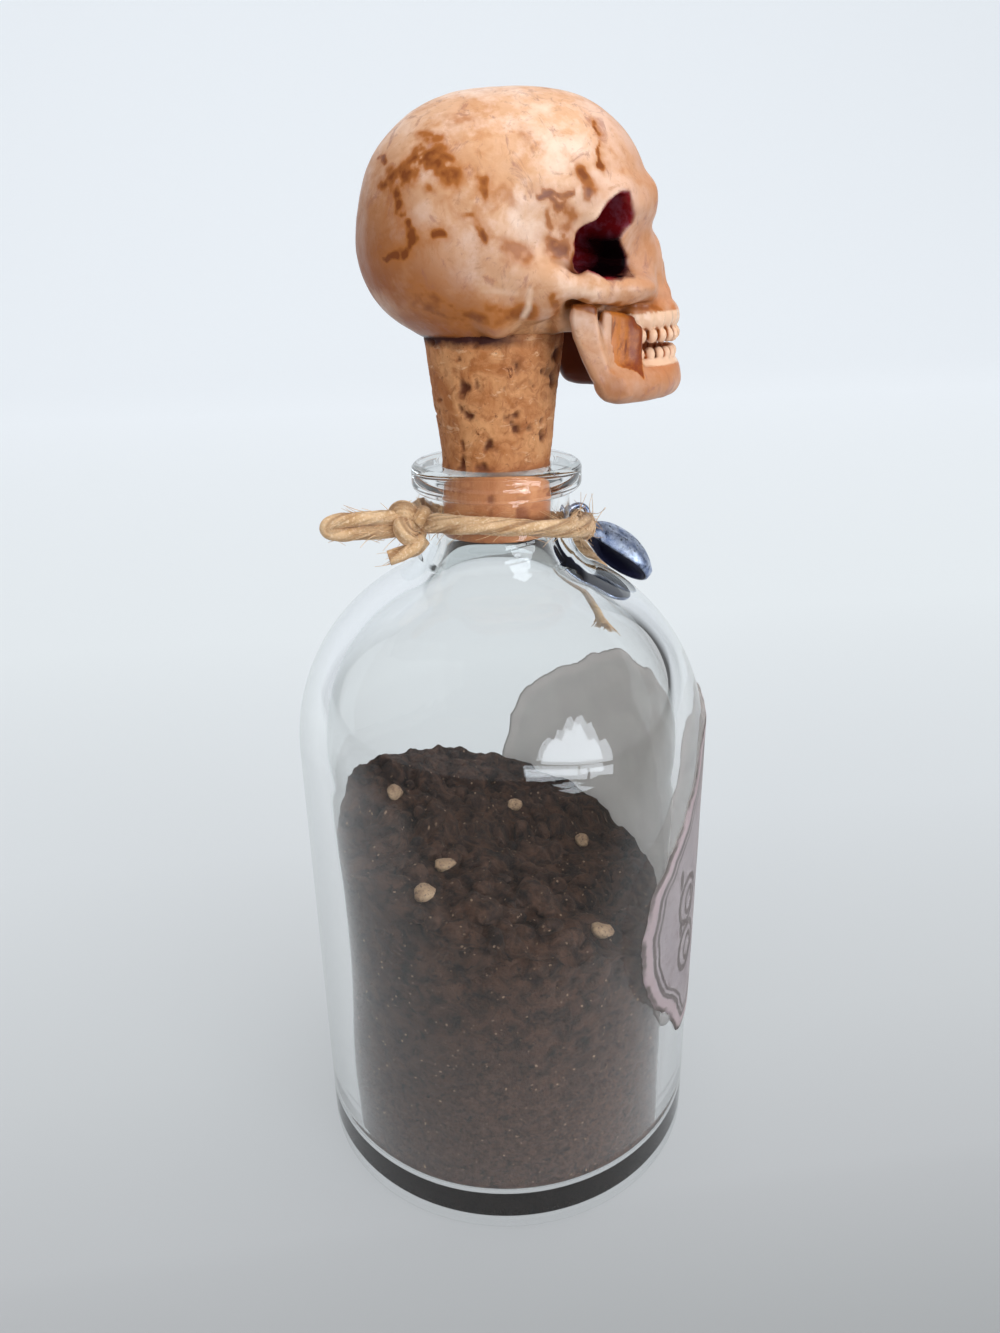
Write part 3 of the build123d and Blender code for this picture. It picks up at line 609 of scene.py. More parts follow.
def stroke_weight(points, side, strokes, ragged):
    # How deep each point lies in the strokes of one side. Their edges wander, their strength is patchy,
    # and the ragged ones have a faint halo.
    wander = np.stack([rough_noise(points, 1.5, seed) for seed in (71, 74)], axis=1) * ragged
    flat = points[:, [0, 2]] + wander
    weight = np.zeros(len(points))
    for stroke, width, strength in strokes:
        if side > 0:
            # The far side has them turned about, closer together and a little higher
            stroke = [(0.8 - x * 0.86, z * 0.7 + 119.5 * 0.3 + 1.0) for x, z in stroke]
        for (ax, az), (bx, bz) in zip(stroke, stroke[1:]):
            a, along = np.array((ax, az)), np.array((bx - ax, bz - az))
            rel = flat - a
            share = np.clip(rel @ along / max(along @ along, 1e-6), 0, 1)
            gap = np.linalg.norm(rel - share[:, None] * along, axis=1)
            core = np.clip(1.3 - gap / width, 0, 1)
            halo = 0.34 * np.clip(1.2 - gap / (width * 2.2 + 0.3), 0, 1) * (ragged > 0.2)
            weight = np.maximum(weight, strength * np.maximum(core, halo))
    patchy = np.clip(0.86 + rough_noise(points, 0.8, 78) * 0.5, 0.2, 1.1)
    return weight * patchy * (np.sign(points[:, 1]) == side)


def paint_teeth(piece, points):
    x, y, z = points.T
    from_mouth = np.linalg.norm((points - (15.0, 0, 107.6)) / (7.6, 7.2, 5.2), axis=1)
    paint(piece, "mouth", np.clip(1.5 - from_mouth, 0, 1))
    edge = np.hypot((x - ARCH_CENTRE_X) / 7.62, y / 6.4)
    band = (z > 105.2) & (z < 110.7)
    paint(piece, "tooth", band * np.clip((edge - 0.93) * 14, 0, 1) * np.clip((1.22 - edge) * 14, 0, 1)
          * np.clip((x - 13.2) * 3, 0, 1))


def paint_cranium(piece, points):
    x, y, z = points.T
    # How far each point lies inside the socket's outline, and which of them are its black depth
    place = np.stack([x, np.abs(y), z], axis=1) - SOCKET_PLACE
    u, v = place @ SOCKET_ACROSS, place[:, 2]
    deep = -(place[:, 0] + place[:, 1]) * math.sqrt(0.5)
    size = np.clip(1 + SOCKET_NARROW * np.maximum(deep, 0), 0.2, 1)
    gap = outline_gap(u / size, v / size, np.array(SOCKET_OUTLINE)) + rough_noise(points, 1.1, 77) * 0.14
    socket = fade(gap, 0.42, 0.12) * (deep < 7.6) * (deep > -5.0)
    paint(piece, "socket", socket)
    paint(piece, "depth", socket * fade(u, -3.4, -2.0) * fade(v, 0.9, -0.3) * fade(deep, 3.8, 1.4))
    # Corky where the head runs into the stopper, and painted shadow at the joint there, strongest at the
    # back
    radius = np.hypot(x, y)
    paint(piece, "corky", fade(z, 113.0, 110.8) * fade(x, -1.5, 1.0) * fade(radius, 10.6, 9.8))
    joint_shadow = fade(z, 109.1, 108.3) * fade(radius, 9.8, 9.3)
    paint(piece, "joint_shadow", joint_shadow * np.clip((5.0 - x) / 5.0, 0.25, 1))


def paint_jaw(piece, points, normal):
    x, y, z = points.T
    across = np.abs(y)
    # The recess beside the teeth grows darker towards them, and the inner faces get painted shade
    sunk = (x > 9.2) & (x < 14.8) & (z > 103.4) & (z < 111.4) & (across > 6.9) & (across < 9.5)
    paint(piece, "recess", sunk * np.clip((x - 8.8) / 4.6, 0.15, 1))
    paint(piece, "inner", np.clip(-normal[:, 1] * np.sign(y) * 3, 0, 1) * (across > 4) * (x < 14))


def cast_piece(name, solid, seed):
    points, faces, whole, low = solid.skin()
    normal = outward(whole, low, SKULL_STEP, points)
    # Shallow unevenness of a hand-finished casting
    points = points + normal * (rough_noise(points, 3.4, seed) * 0.07)[:, None]
    piece = add_mesh(name, points, faces)
    # How shut in each point is, for painted shade in the hollows and the creases
    for key, reach in (("hollow", 1.3), ("crease", 0.45)):
        open_space = look_up(whole, low, SKULL_STEP, points + normal * reach)
        paint(piece, key, np.clip(1 - open_space / reach, 0, 1))
    for key, strokes, ragged in (("stain", STAIN_STROKES, 0.42), ("scratch", SCRATCHES, 0.12)):
        paint(piece, key, sum(stroke_weight(points, side, strokes, ragged) for side in (-1, 1)))
    paint_teeth(piece, points)
    if name == "skull":
        paint_cranium(piece, points)
    else:
        paint_jaw(piece, points, normal)
    return piece


def rubbed_bone(shade):
    # Cream where hands have rubbed it, tan and orange-brown where the stain has stayed, and painted shade
    # low down and at the back
    base = shade.blend(shade.spots(0.35, 0.68, 7.0, 4, 0.6), rgb(236, 192, 158), rgb(218, 164, 122))
    base = shade.over(base, shade.spots(0.5, 0.68, 3.3, 5, 0.62, 0.8), rgb(202, 132, 76), 0.66)
    base = shade.over(base, shade.spots(0.46, 0.64, 4.2, 5, 0.62), rgb(250, 220, 200), 0.75)
    split = shade.node("SeparateXYZ", {"Vector": shade.place()})
    # Darker orange-brown low down and at the back: partly stain, partly painted shade
    low_back_stain_and_shade = shade.ramp(shade.sum(split.outputs["Z"], shade.times(split.outputs["X"], 0.75)), 119.0, 105.0)
    base = shade.over(base, shade.times(low_back_stain_and_shade, shade.spots(0.1, 0.5, 5.5, 4, 0.6)), rgb(160, 84, 16))
    base = shade.over(base, shade.ramp(split.outputs["X"], 7.0, 15.0), rgb(186, 118, 74), 0.62)
    base = shade.over(base, shade.spots(0.58, 0.72, 1.3, 5, 0.7, 0.6), rgb(168, 106, 62), 0.5)
    smear = shade.spots(0.56, 0.66, 2.4, 5, 0.7, 1.2, stretch=(1, 1, 0.55))
    base = shade.over(base, smear, rgb(160, 104, 94), 0.55)
    return base


def stained_bone(shade, base):
    stain = shade.attribute("stain")
    base = shade.over(base, shade.ramp(stain, 0.02, 0.5), rgb(184, 112, 54))
    base = shade.over(base, shade.ramp(stain, 0.4, 0.85), rgb(126, 62, 22), 0.9)
    base = shade.over(base, shade.attribute("scratch"), rgb(238, 204, 176), 0.75)
    # Brown stain and painted shade in the hollows, darker painted shade in the creases
    hollow = shade.ramp(shade.sum(shade.attribute("hollow"), shade.times(shade.noise(1.6), 0.12)), 0.36, 0.9)
    base = shade.over(base, hollow, rgb(150, 84, 36))
    crease = shade.ramp(shade.sum(shade.attribute("crease"), shade.times(shade.noise(0.8), 0.1)), 0.4, 0.95)
    base = shade.over(base, crease, rgb(96, 42, 22))
    # Orange-brown like the cork where the head runs into it
    corky = shade.blend(shade.spots(0.42, 0.64, 1.6, 5, 0.68, 0.8), rgb(204, 148, 100), rgb(160, 98, 54))
    return shade.over(base, shade.attribute("corky"), corky, 0.85)


def bone_round_mouth(shade, base, tooth):
    # Orange round the mouth, and streaks in the jaw's recess
    mouth = shade.times(shade.attribute("mouth"), shade.spots(0.3, 0.58, 2.2, 4))
    base = shade.over(base, mouth, rgb(192, 104, 40))
    recess = shade.attribute("recess")
    lines = shade.spots(0.5, 0.62, 1.5, 4, 0.6, 0.5, stretch=(1.6, 1.6, 0.5))
    streaks = shade.blend(lines, rgb(196, 114, 42), rgb(126, 62, 20))
    base = shade.over(base, shade.ramp(recess, 0.1, 0.5), streaks)
    beside_teeth = shade.ramp(shade.sum(recess, shade.times(shade.noise(1.2, 5, 0.7), 0.9)), 1.16, 1.5)
    base = shade.over(base, beside_teeth, rgb(136, 62, 30))
    return shade.over(base, tooth, rgb(240, 200, 168), 0.9)


def bone_material():
    shade = Shade("cast_bone", Roughness=0.4, Specular_IOR_Level=0.34, Coat_Weight=0.1, Coat_Roughness=0.22)
    # The teeth are cream, but not between them
    between = shade.ramp(shade.sum(shade.attribute("hollow"), shade.attribute("crease")), 0.75, 1.35)
    tooth = shade.times(shade.attribute("tooth"), shade.sum(1.0, between, "SUBTRACT"))
    base = bone_round_mouth(shade, stained_bone(shade, rubbed_bone(shade)), tooth)
    # Painted shadow at the joint with the cork, and painted shade on the jaw's inner faces
    joint_shadow = shade.ramp(shade.sum(shade.attribute("joint_shadow"), shade.times(shade.noise(1.2), 0.3)), 0.4, 0.8)
    base = shade.over(base, joint_shadow, rgb(66, 22, 14))
    base = shade.over(base, shade.attribute("inner"), rgb(88, 36, 18))
    # Dark red sockets with a black depth
    socket = shade.attribute("socket")
    red = shade.blend(shade.spots(0.45, 0.65, 1.3, 4, 0.6), rgb(126, 20, 26), rgb(140, 66, 80))
    base = shade.over(base, socket, red)
    base = shade.over(base, shade.attribute("depth"), rgb(14, 3, 6))
    shade.colour(base)
    rough = shade.ramp(shade.noise(2.4, 4), 0.3, 0.7, 0.32, 0.5)
    glossy = shade.sum(shade.times(socket, 0.28), shade.times(tooth, 0.2))
    shade.roughness(shade.sum(rough, glossy, "SUBTRACT"))
    grain = shade.sum(shade.times(shade.noise(0.5, 4, 0.6), 0.5), shade.times(shade.noise(2.2, 4, 0.6), 0.9))
    shade.bump(grain, 0.12, 0.5)
    return shade.material


# Bottle

BODY_RADIUS, WALL, SIDE_HEIGHT = 25.8, 3.2, 59.5
SHOULDER_RADIUS, NECK_RADIUS, BORE_RADIUS = 24.0, 8.6, 6.4
SHOULDER_X = BODY_RADIUS - SHOULDER_RADIUS
INNER_RADIUS = BODY_RADIUS - WALL
HEEL, BASE_TOP, FLOOR_CORNER = 1.2, 3.9, 1.8
BASE_RING, BASE_HOLLOW = 21.4, 0.7
LIP_RADIUS, LIP_ROUNDING, BOTTLE_TOP = 10.0, 0.9, 94.5


def glass_profile():
    # Outer wall from the middle of the base up, over the lip and down the inside
    rounding_z = BOTTLE_TOP - LIP_ROUNDING
    outside = [(BASE_RING * s, BASE_HOLLOW * (1 - s * s)) for s in np.linspace(0, 1, 14)] + [(23.0, 0.0)]
    outside += arc((BODY_RADIUS - HEEL, HEEL), HEEL, -90, 0, 12)
    outside += [(BODY_RADIUS, z) for z in np.linspace(2, 59, 58)]
    outside += arc((SHOULDER_X, SIDE_HEIGHT), SHOULDER_RADIUS, 0, 63.56, 44)
    outside += arc((NECK_RADIUS + 7.0, 87.26), 7.0, 243.56, 180, 20)[1:]
    outside += [(NECK_RADIUS, 89.4), (NECK_RADIUS, 91.1), (NECK_RADIUS + 0.02, 91.28)]
    outside += arc((LIP_RADIUS - LIP_ROUNDING, 92.2), LIP_ROUNDING, -90, 0, 8)
    outside += arc((LIP_RADIUS - LIP_ROUNDING, rounding_z), LIP_ROUNDING, 0, 90, 8)
    inside = arc((BORE_RADIUS + LIP_ROUNDING, rounding_z), LIP_ROUNDING, 90, 180, 8)
    inside += [(BORE_RADIUS, 90.5), (BORE_RADIUS, 88.0)]
    inside += arc((BORE_RADIUS + 9.0, 86.02), 9.0, 180, 242.85, 20)
    inside += arc((SHOULDER_X, SIDE_HEIGHT), SHOULDER_RADIUS - WALL, 62.85, 0, 44)[1:]
    inside += [(INNER_RADIUS, z) for z in np.linspace(59, 6, 80)]
    inside += arc((INNER_RADIUS - FLOOR_CORNER, BASE_TOP + FLOOR_CORNER), FLOOR_CORNER, 0, -90, 14)
    inside += [(12, BASE_TOP), (6, BASE_TOP), (0, BASE_TOP)]
    return outside, inside


def make_glass():
    outside, inside = glass_profile()
    turns = 288
    points, faces = lathe(outside + inside, turns)
    # Moulded glass: the inside runs a little uneven, the outside is nearly true
    radius = np.hypot(points[:, 0], points[:, 1])
    start = 1 + (len(outside) - 1) * turns
    inner = (np.arange(len(points)) >= start) & (radius > 7.5)
    wave = rough_noise(points * (1, 1, 0.6), 16.0, 5, 2) * 0.1
    upright = points[:, 2] > 5.8
    points[:, :2] *= np.where(inner & upright, 1 + (wave - 0.1) / np.maximum(radius, 1), 1)[:, None]
    points[:, 2] += np.where(inner & ~upright, lattice_noise(points, 9.0, 8) * 0.12, 0)
    return add_mesh("bottle_glass", points, faces)


def glass_material():
    shade = Shade("clear_glass", Roughness=0.0, IOR=1.5, Transmission_Weight=1.0)
    # Painted shade makes the wall greyer where the eye runs along it
    rim = shade.ramp(shade.node("LayerWeight", {"Blend": 0.5}).outputs["Facing"], 0.6, 0.97)
    shade.colour(shade.blend(rim, (0.985, 0.993, 0.99, 1.0), (0.46, 0.48, 0.47, 1.0)))
    # Light reaches the filling straight through the wall, and a view that has met many walls goes on
    path = shade.node("LightPath")
    late = shade.sum(path.outputs["Ray Depth"], 3.5, "GREATER_THAN")
    straight = shade.sum(path.outputs["Is Shadow Ray"], late, "MAXIMUM")
    clear = shade.node("BsdfTransparent", {"Color": (0.93, 0.95, 0.95, 1.0)})
    shade.mix_surface(straight, clear)
    return shade.material


# Cork

CORK_LOW, CORK_HIGH = 86.2, 109.1
CORK_NECK_RADIUS, CORK_TOP_RADIUS = 6.34, 7.85
CORK_TAPER_TOP = 108.3


def make_cork():
    profile = [(0, CORK_LOW), (3.0, CORK_LOW), (5.9, CORK_LOW), (6.2, CORK_LOW + 0.15)]
    profile += [(CORK_NECK_RADIUS, 86.6)]
    profile += [(CORK_NECK_RADIUS, z) for z in np.linspace(87.0, BOTTLE_TOP, 24)]
    profile += [(CORK_NECK_RADIUS + (CORK_TOP_RADIUS - CORK_NECK_RADIUS) * s,
                 BOTTLE_TOP + (CORK_TAPER_TOP - BOTTLE_TOP) * s) for s in np.linspace(0.02, 1, 52)]
    profile += [(CORK_TOP_RADIUS, 109.0), (7.0, CORK_HIGH), (0, CORK_HIGH)]
    points, faces = lathe(profile, 220)
    radius = np.maximum(np.hypot(points[:, 0], points[:, 1]), 0.01)
    # Pits between the granules, and a slightly squashed taper
    pits = np.clip(rough_noise(points, 1.5, 31) - 0.42, 0, 1) * 0.9
    grain = rough_noise(points, 0.7, 35) * 0.05
    side = radius > 5
    free = fade(points[:, 2], 94.0, 95.5) * side
    sink = (pits + 0.07 + grain) * (0.25 + 0.75 * free)
    flat = lattice_noise(points, 6.0, 39) * 0.12 * free
    points[:, :2] *= (1 + np.where(side, np.minimum(flat - sink, 0.0) / radius, 0))[:, None]
    piece = add_mesh("cork", points, faces)
    paint(piece, "pit", np.clip(pits * 2.4, 0, 1))
    return piece


def cork_material():
    shade = Shade("pressed_cork", Roughness=0.75)
    # Soft blotches of pressed granules, with small dark flecks and a few pale streaks
    base = shade.blend(shade.spots(0.38, 0.62, 3.6, 5, 0.62, 0.6), rgb(182, 112, 60), rgb(218, 156, 104))
    base = shade.over(base, shade.spots(0.48, 0.66, 1.7, 5, 0.68, 0.8), rgb(154, 86, 40), 0.75)
    streak = shade.spots(0.6, 0.7, 2.2, 4, 0.6, 1.0, stretch=(1, 1, 2.2))
    base = shade.over(base, streak, rgb(236, 194, 154), 0.6)
    base = shade.over(base, shade.spots(0.62, 0.69, 1.05, 5, 0.7, 1.0), rgb(112, 56, 28))
    base = shade.over(base, shade.attribute("pit"), rgb(104, 54, 28))
    # Redder where the glass presses on it
    split = shade.node("SeparateXYZ", {"Vector": shade.place()})
    base = shade.over(base, shade.ramp(split.outputs["Z"], 95.4, 93.8), rgb(168, 98, 62), 0.5)
    # Painted shadow under the head, most of all at the back
    joint_shadow = shade.ramp(shade.sum(split.outputs["Z"], shade.times(shade.noise(1.6, 4), 1.2)), 108.0, 108.9)
    back = shade.ramp(split.outputs["X"], 3.0, -1.0, 0.25, 1.0)
    base = shade.over(base, shade.times(joint_shadow, back), rgb(62, 22, 14))
    shade.colour(base)
    shade.bump(shade.noise(0.6, 4, 0.65), 0.2, 0.6)
    return shade.material


# Soil

SOIL_RADIUS = 22.35
SHARE_RADIUS = 22.4
SOIL_LOW, SOIL_CORNER = 4.1, 1.75
SOIL_MIDDLE = 43.5
SOIL_SLOPE = math.tan(math.radians(17.0))
SOIL_UP = (math.cos(math.radians(160.0)), math.sin(math.radians(160.0)))
CORNER_TOP = SOIL_LOW + SOIL_CORNER
TOP_FLAT = 60.0

# Places as shares of the radius, and sizes of the mounds on the soil
MOUNDS = [
    (-0.70, -0.14, 0.95), (-0.40, 0.02, 1.00), (-0.42, 0.46, 0.90), (-0.12, -0.20, 0.85),
    (-0.14, 0.64, 1.00), (-0.20, -0.66, 0.90), (0.12, -0.50, 1.00), (0.20, 0.02, 0.95),
    (0.38, 0.54, 0.85), (0.44, -0.30, 0.90), (0.74, -0.12, 0.85), (-0.10, 0.30, 0.80),
    (-0.64, 0.50, 0.85), (0.14, -0.82, 0.80)]

# Places as shares of the radius, sizes and turns of the six stones
PEBBLES = [((-0.38, -0.36), (3.2, 2.4, 1.8), 20.0), ((-0.50, -0.62), (3.4, 2.6, 2.0), 75.0),
           ((0.42, -0.72), (3.0, 2.4, 1.9), 130.0), ((0.12, 0.35), (2.8, 2.3, 1.7), 10.0),
           ((-0.66, 0.20), (3.0, 2.5, 2.0), 50.0), ((0.55, 0.18), (2.6, 2.1, 1.6), 95.0)]


def soil_level(x, y):
    level = SOIL_MIDDLE + SOIL_SLOPE * (x * SOIL_UP[0] + y * SOIL_UP[1])
    level = level - 1.4 * np.clip((x + y + 12) / 24, 0, 1)
    rise = 0.0
    for index, (across, along, size) in enumerate(MOUNDS):
        turn = math.radians(50.0 * index)
        dx, dy = x - across * SHARE_RADIUS, y - along * SHARE_RADIUS
        u = (dx * math.cos(turn) + dy * math.sin(turn)) / (3.2 * size)
        v = (dy * math.cos(turn) - dx * math.sin(turn)) / (2.7 * size)
        rise = np.maximum(rise, 1.9 * size * np.sqrt(np.maximum(1 - u * u - v * v, 0)))
    return level + rise * 0.9


def clod(points, faces, centre, half, seed, turn):
    # An irregular lump added to a list of lumps
    grid_u, grid_v = 9, 12
    start, first = len(points), len(points) + 1
    shape = np.random.default_rng(seed)
    cuts = shape.normal(size=(9, 3))
    cuts /= np.linalg.norm(cuts, axis=1, keepdims=True)
    depth = shape.uniform(0.62, 0.95, 9)
    local = [(0, 0, -1.0)]
    for i in range(1, grid_u):
        up = -math.pi / 2 + math.pi * i / grid_u
        for j in range(grid_v):
            around = 2 * math.pi * (j + 0.5 * (i % 2)) / grid_v
            local.append((math.cos(up) * math.cos(around), math.cos(up) * math.sin(around), math.sin(up)))
    local.append((0, 0, 1.0))
    local = np.array(local)
    # Flats broken off a ball
    for cut, far in zip(cuts, depth):
        over = np.maximum(local @ cut - far, 0)
        local = local - over[:, None] * cut * 0.92
    local = local * (1 + rough_noise(local * 3 + seed * 1.7, 1.6, seed % 97) * 0.14)[:, None]
    local = local * half
    tilt = shape.uniform(-0.6, 0.6)
    turned = Matrix.Rotation(turn, 3, "Z") @ Matrix.Rotation(tilt, 3, "X")
    points.extend((local @ np.array(turned).T + centre).tolist())
    last = first + (grid_u - 2) * grid_v
    for j in range(grid_v):
        n = (j + 1) % grid_v
        faces.append((start, first + n, first + j))
        faces.append((last + j, last + n, last + grid_v))
    faces.extend(tube_faces(first, grid_u - 1, grid_v))


def make_soil():
    flat_radius = SOIL_RADIUS - SOIL_CORNER
    profile = [(r, SOIL_LOW) for r in np.linspace(0, flat_radius, 12)[:-1]]
    profile += arc((flat_radius, CORNER_TOP), SOIL_CORNER, -90, 0, 10)
    profile += [(SOIL_RADIUS, z) for z in np.linspace(6.2, TOP_FLAT, 160)]
    profile += [(r, TOP_FLAT) for r in np.linspace(SOIL_RADIUS, 0, 70)[1:]]
    points, faces = lathe(profile, 300)
    x, y, z = points[:, 0], points[:, 1], points[:, 2]
    level = soil_level(x, y) + rough_noise(points * (1, 1, 0), 2.4, 11, 3) * 0.55
    side = z < TOP_FLAT - 0.1
    # The side is squeezed under the rim, and the top lies on the slope
    side_base = 5.9
    squeezed = side_base + (z - side_base) * (level - side_base) / (TOP_FLAT - side_base)
    points[:, 2] = np.where(side & (z > 6.0), squeezed, np.where(side, z, level))
    coarse = np.clip(1 - (level - points[:, 2]) / 14.0, 0, 1)
    lumps = np.clip(rough_noise(points, 3.2, 21) + 0.15, 0, 1) * coarse
    fine = np.clip(rough_noise(points, 1.0, 25) + 0.2, 0, 1) * 0.32
    inward = np.where(side & (z > 5.0), lumps + fine, 0)
    points[:, :2] *= (1 - inward / np.maximum(np.hypot(x, y), 1))[:, None]
    points[:, 2] += np.where(side, 0, rough_noise(points, 1.8, 28) * 0.55)
    return add_mesh("soil", points, faces)


def lay_clod(points, faces, x, y, drop, half, seed, turn):
    clod(points, faces, (x, y, float(soil_level(x, y)) - drop), np.array(half), seed, turn)


def make_clods():
    draw = np.random.default_rng(42)
    points, faces = [], []
    for n in range(230):
        radius = SOIL_RADIUS * math.sqrt(draw.uniform(0, 1)) * 0.95
        angle = draw.uniform(0, 2 * math.pi)
        size = draw.uniform(0.45, 1.0) ** 1.6 * 1.9
        radius = min(radius, SOIL_RADIUS - size - 0.2)
        x, y = radius * math.cos(angle), radius * math.sin(angle)
        half = (size, size * draw.uniform(0.7, 1), size * draw.uniform(0.55, 0.85))
        # None lies on a stone
        if min(math.hypot(x - SHARE_RADIUS * across, y - SHARE_RADIUS * along)
               for (across, along), *_ in PEBBLES) < 1.3 + size:
            continue
        lay_clod(points, faces, x, y, half[2] * 0.1, half, 300 + n, draw.uniform(0, 6.28))
    # Lumps pressed against the glass near the rim
    for n in range(150):
        angle = draw.uniform(0, 2 * math.pi)
        size = draw.uniform(0.5, 1.3)
        radius = SOIL_RADIUS - size * 0.8 + 0.05
        x, y = radius * math.cos(angle), radius * math.sin(angle)
        down = draw.uniform(0, 1) ** 1.5 * 13
        lay_clod(points, faces, x, y, 0.8 + down, (size * 0.78, size, size * 0.8), 700 + n, angle)
    # Nothing goes into the glass
    points = np.array(points)
    radius = np.hypot(points[:, 0], points[:, 1])
    points[:, :2] *= np.minimum(1, (SOIL_RADIUS + 0.02) / np.maximum(radius, 1))[:, None]
    return add_mesh("soil_clods", points, faces)


def make_pebbles():
    points, faces = [], []
    for n, ((across, along), size, turn) in enumerate(PEBBLES):
        x, y = across * SHARE_RADIUS, along * SHARE_RADIUS
        lay_clod(points, faces, x, y, -size[2] * 0.38, np.array(size) / 2, 40 + n, math.radians(turn))
    return add_mesh("pebbles", points, faces)


def soil_material():
    shade = Shade("dark_soil", Roughness=0.9)
    # Brown crumbs with painted shade for the dark gaps, finer and paler lower down, and tiny tan grains
    base = shade.blend(shade.spots(0.36, 0.62, 2.6, 5, 0.72, 0.6), rgb(34, 20, 14), rgb(92, 64, 50))
    split = shade.node("SeparateXYZ", {"Vector": shade.place()})
    fine = shade.ramp(shade.sum(split.outputs["Z"], shade.times(shade.noise(9.0, 3), 12.0)), 36.0, 24.0)
    grain = shade.blend(shade.spots(0.38, 0.62, 0.8, 5, 0.8), rgb(48, 29, 20), rgb(106, 76, 62))
    base = shade.over(base, fine, grain, 0.75)
    # Dark spots: painted shade in the gaps between the crumbs
    base = shade.over(base, shade.spots(0.44, 0.36, 1.3, 5, 0.75, 0.8), rgb(18, 10, 8), 0.8)
    grains = shade.times(shade.ramp(shade.cells(0.95), 0.22, 0.12), shade.spots(0.5, 0.6, 1.6, 3, 0.7))
    base = shade.over(base, grains, rgb(176, 144, 118), 0.9)
    shade.colour(base)
    shade.bump(shade.sum(shade.noise(0.8, 5, 0.8), shade.noise(2.6, 4, 0.7)), 0.9, 1.0)
    return shade.material


def pebble_material():
    shade = Shade("pebble", Roughness=0.7)
    base = shade.blend(shade.spots(0.35, 0.65, 1.2, 5, 0.7), rgb(176, 146, 116), rgb(132, 104, 82))
    shade.colour(shade.over(base, shade.spots(0.56, 0.68, 0.3, 3, 0.7), rgb(72, 54, 44)))
    shade.bump(shade.noise(0.5, 4, 0.7), 0.2, 0.6)
    return shade.material


# Label

LABEL_AZIMUTH = 19.0
LABEL_RADIUS, LABEL_BEND = 25.87, 25.95
LABEL_THICK = 0.16
LABEL_LOW, LABEL_TALL, LABEL_HALF = 20.0, 45.5, 35.0
# Corners of the paper, as shares of its half width and of its height
LABEL_OUTLINE = [
    (-0.68, 0.00), (-0.78, 0.09), (-0.92, 0.22), (-0.99, 0.35), (-1.00, 0.45), (-0.95, 0.57),
    (-0.85, 0.67), (-0.75, 0.76), (-0.67, 0.84), (-0.63, 0.91), (-0.55, 0.95), (-0.44, 0.95),
    (-0.32, 0.97), (-0.20, 0.97), (-0.08, 0.99), (0.04, 0.98), (0.17, 1.00), (0.33, 0.94),
    (0.47, 0.87), (0.63, 0.80), (0.74, 0.70), (0.80, 0.52), (0.86, 0.38), (0.82, 0.25),
    (0.72, 0.11), (0.64, 0.02), (0.42, 0.06), (0.20, 0.01), (-0.02, 0.05), (-0.24, 0.00),
    (-0.46, 0.06)]


def torn_outline():
    # The edge is nibbled inwards, coarse and fine
    shape = smooth_closed([(u * LABEL_HALF, v * LABEL_TALL) for u, v in LABEL_OUTLINE], 12)
    ahead = np.roll(shape, -1, axis=0) - np.roll(shape, 1, axis=0)
    normal = np.stack([ahead[:, 1], -ahead[:, 0]], axis=1)
    normal /= np.linalg.norm(normal, axis=1, keepdims=True)
    spot = np.column_stack([shape, np.zeros(len(shape))])
    bite = np.clip(rough_noise(spot, 3.0, 81, 2) * 0.5 + 0.3, 0, 1) + rough_noise(spot, 0.7, 85, 2) * 0.16
    return shape - normal * np.clip(bite, 0, 2)[:, None] * 0.8


def flat_sheet(outline, step=0.55):
    # The outline filled with triangles that all face forwards
    grid_u, grid_v = np.meshgrid(np.arange(-LABEL_HALF, LABEL_HALF, step), np.arange(0, LABEL_TALL, step))
    grid = np.column_stack([grid_u.ravel(), grid_v.ravel()])
    grid[:, 0] += (np.arange(len(grid)) % 2) * 0.01
    grid = grid[outline_gap(*grid.T, outline) < -0.3]
    rim = [(i, (i + 1) % len(outline)) for i in range(len(outline))]
    flat = [Vector(p) for p in np.concatenate([outline, grid])]
    found = geometry.delaunay_2d_cdt(flat, rim, [], 1, 1e-5)
    sheet = np.array([p[:] for p in found[0]])
    faces = [tuple(face) for face in found[2]]
    ways = [(sheet[b] - sheet[a], sheet[c] - sheet[a]) for a, b, c in faces]
    if sum(first[0] * second[1] - second[0] * first[1] for first, second in ways) < 0:
        faces = [face[::-1] for face in faces]
    return sheet, faces


def open_sides(faces):
    # Sides that only one triangle has
    sides = {}
    for face in faces:
        for a, b in zip(face, face[1:] + face[:1]):
            if (b, a) in sides:
                del sides[(b, a)]
            else:
                sides[(a, b)] = True
    return list(sides)


def make_label():
    outline = torn_outline()
    sheet, faces = flat_sheet(outline)
    total = len(sheet)
    angle = math.radians(LABEL_AZIMUTH) + sheet[:, 0] / LABEL_BEND
    height = LABEL_LOW + sheet[:, 1]
    relief = lattice_noise(np.column_stack([sheet, sheet[:, :1] * 0]), 5.0, 91) * 0.03
    # The top leans in with the shoulder
    lean = fade(height, 61.0, 70.0) * (0.10 + 0.10 * np.sin(sheet[:, 0] * 0.5))
    edge = np.abs(outline_gap(*sheet.T, outline))
    points = []
    for lift in (LABEL_THICK, 0.0):
        radius = LABEL_RADIUS + lift * np.clip(0.4 + edge / 0.5, 0, 1) + np.abs(relief) - lean
        points.append(np.column_stack([radius * np.cos(angle), radius * np.sin(angle), height]))
    skin = faces + [tuple(i + total for i in face[::-1]) for face in faces]
    skin += [(a, a + total, b + total, b) for a, b in open_sides(faces)]
    piece = add_mesh("label", np.concatenate(points), skin)
    for key, values in (("edge", edge), ("across", sheet[:, 0]), ("up", sheet[:, 1])):
        paint(piece, key, np.tile(values, 2))
    paint(piece, "back", np.concatenate([np.zeros(total), np.ones(total)]))
    return piece


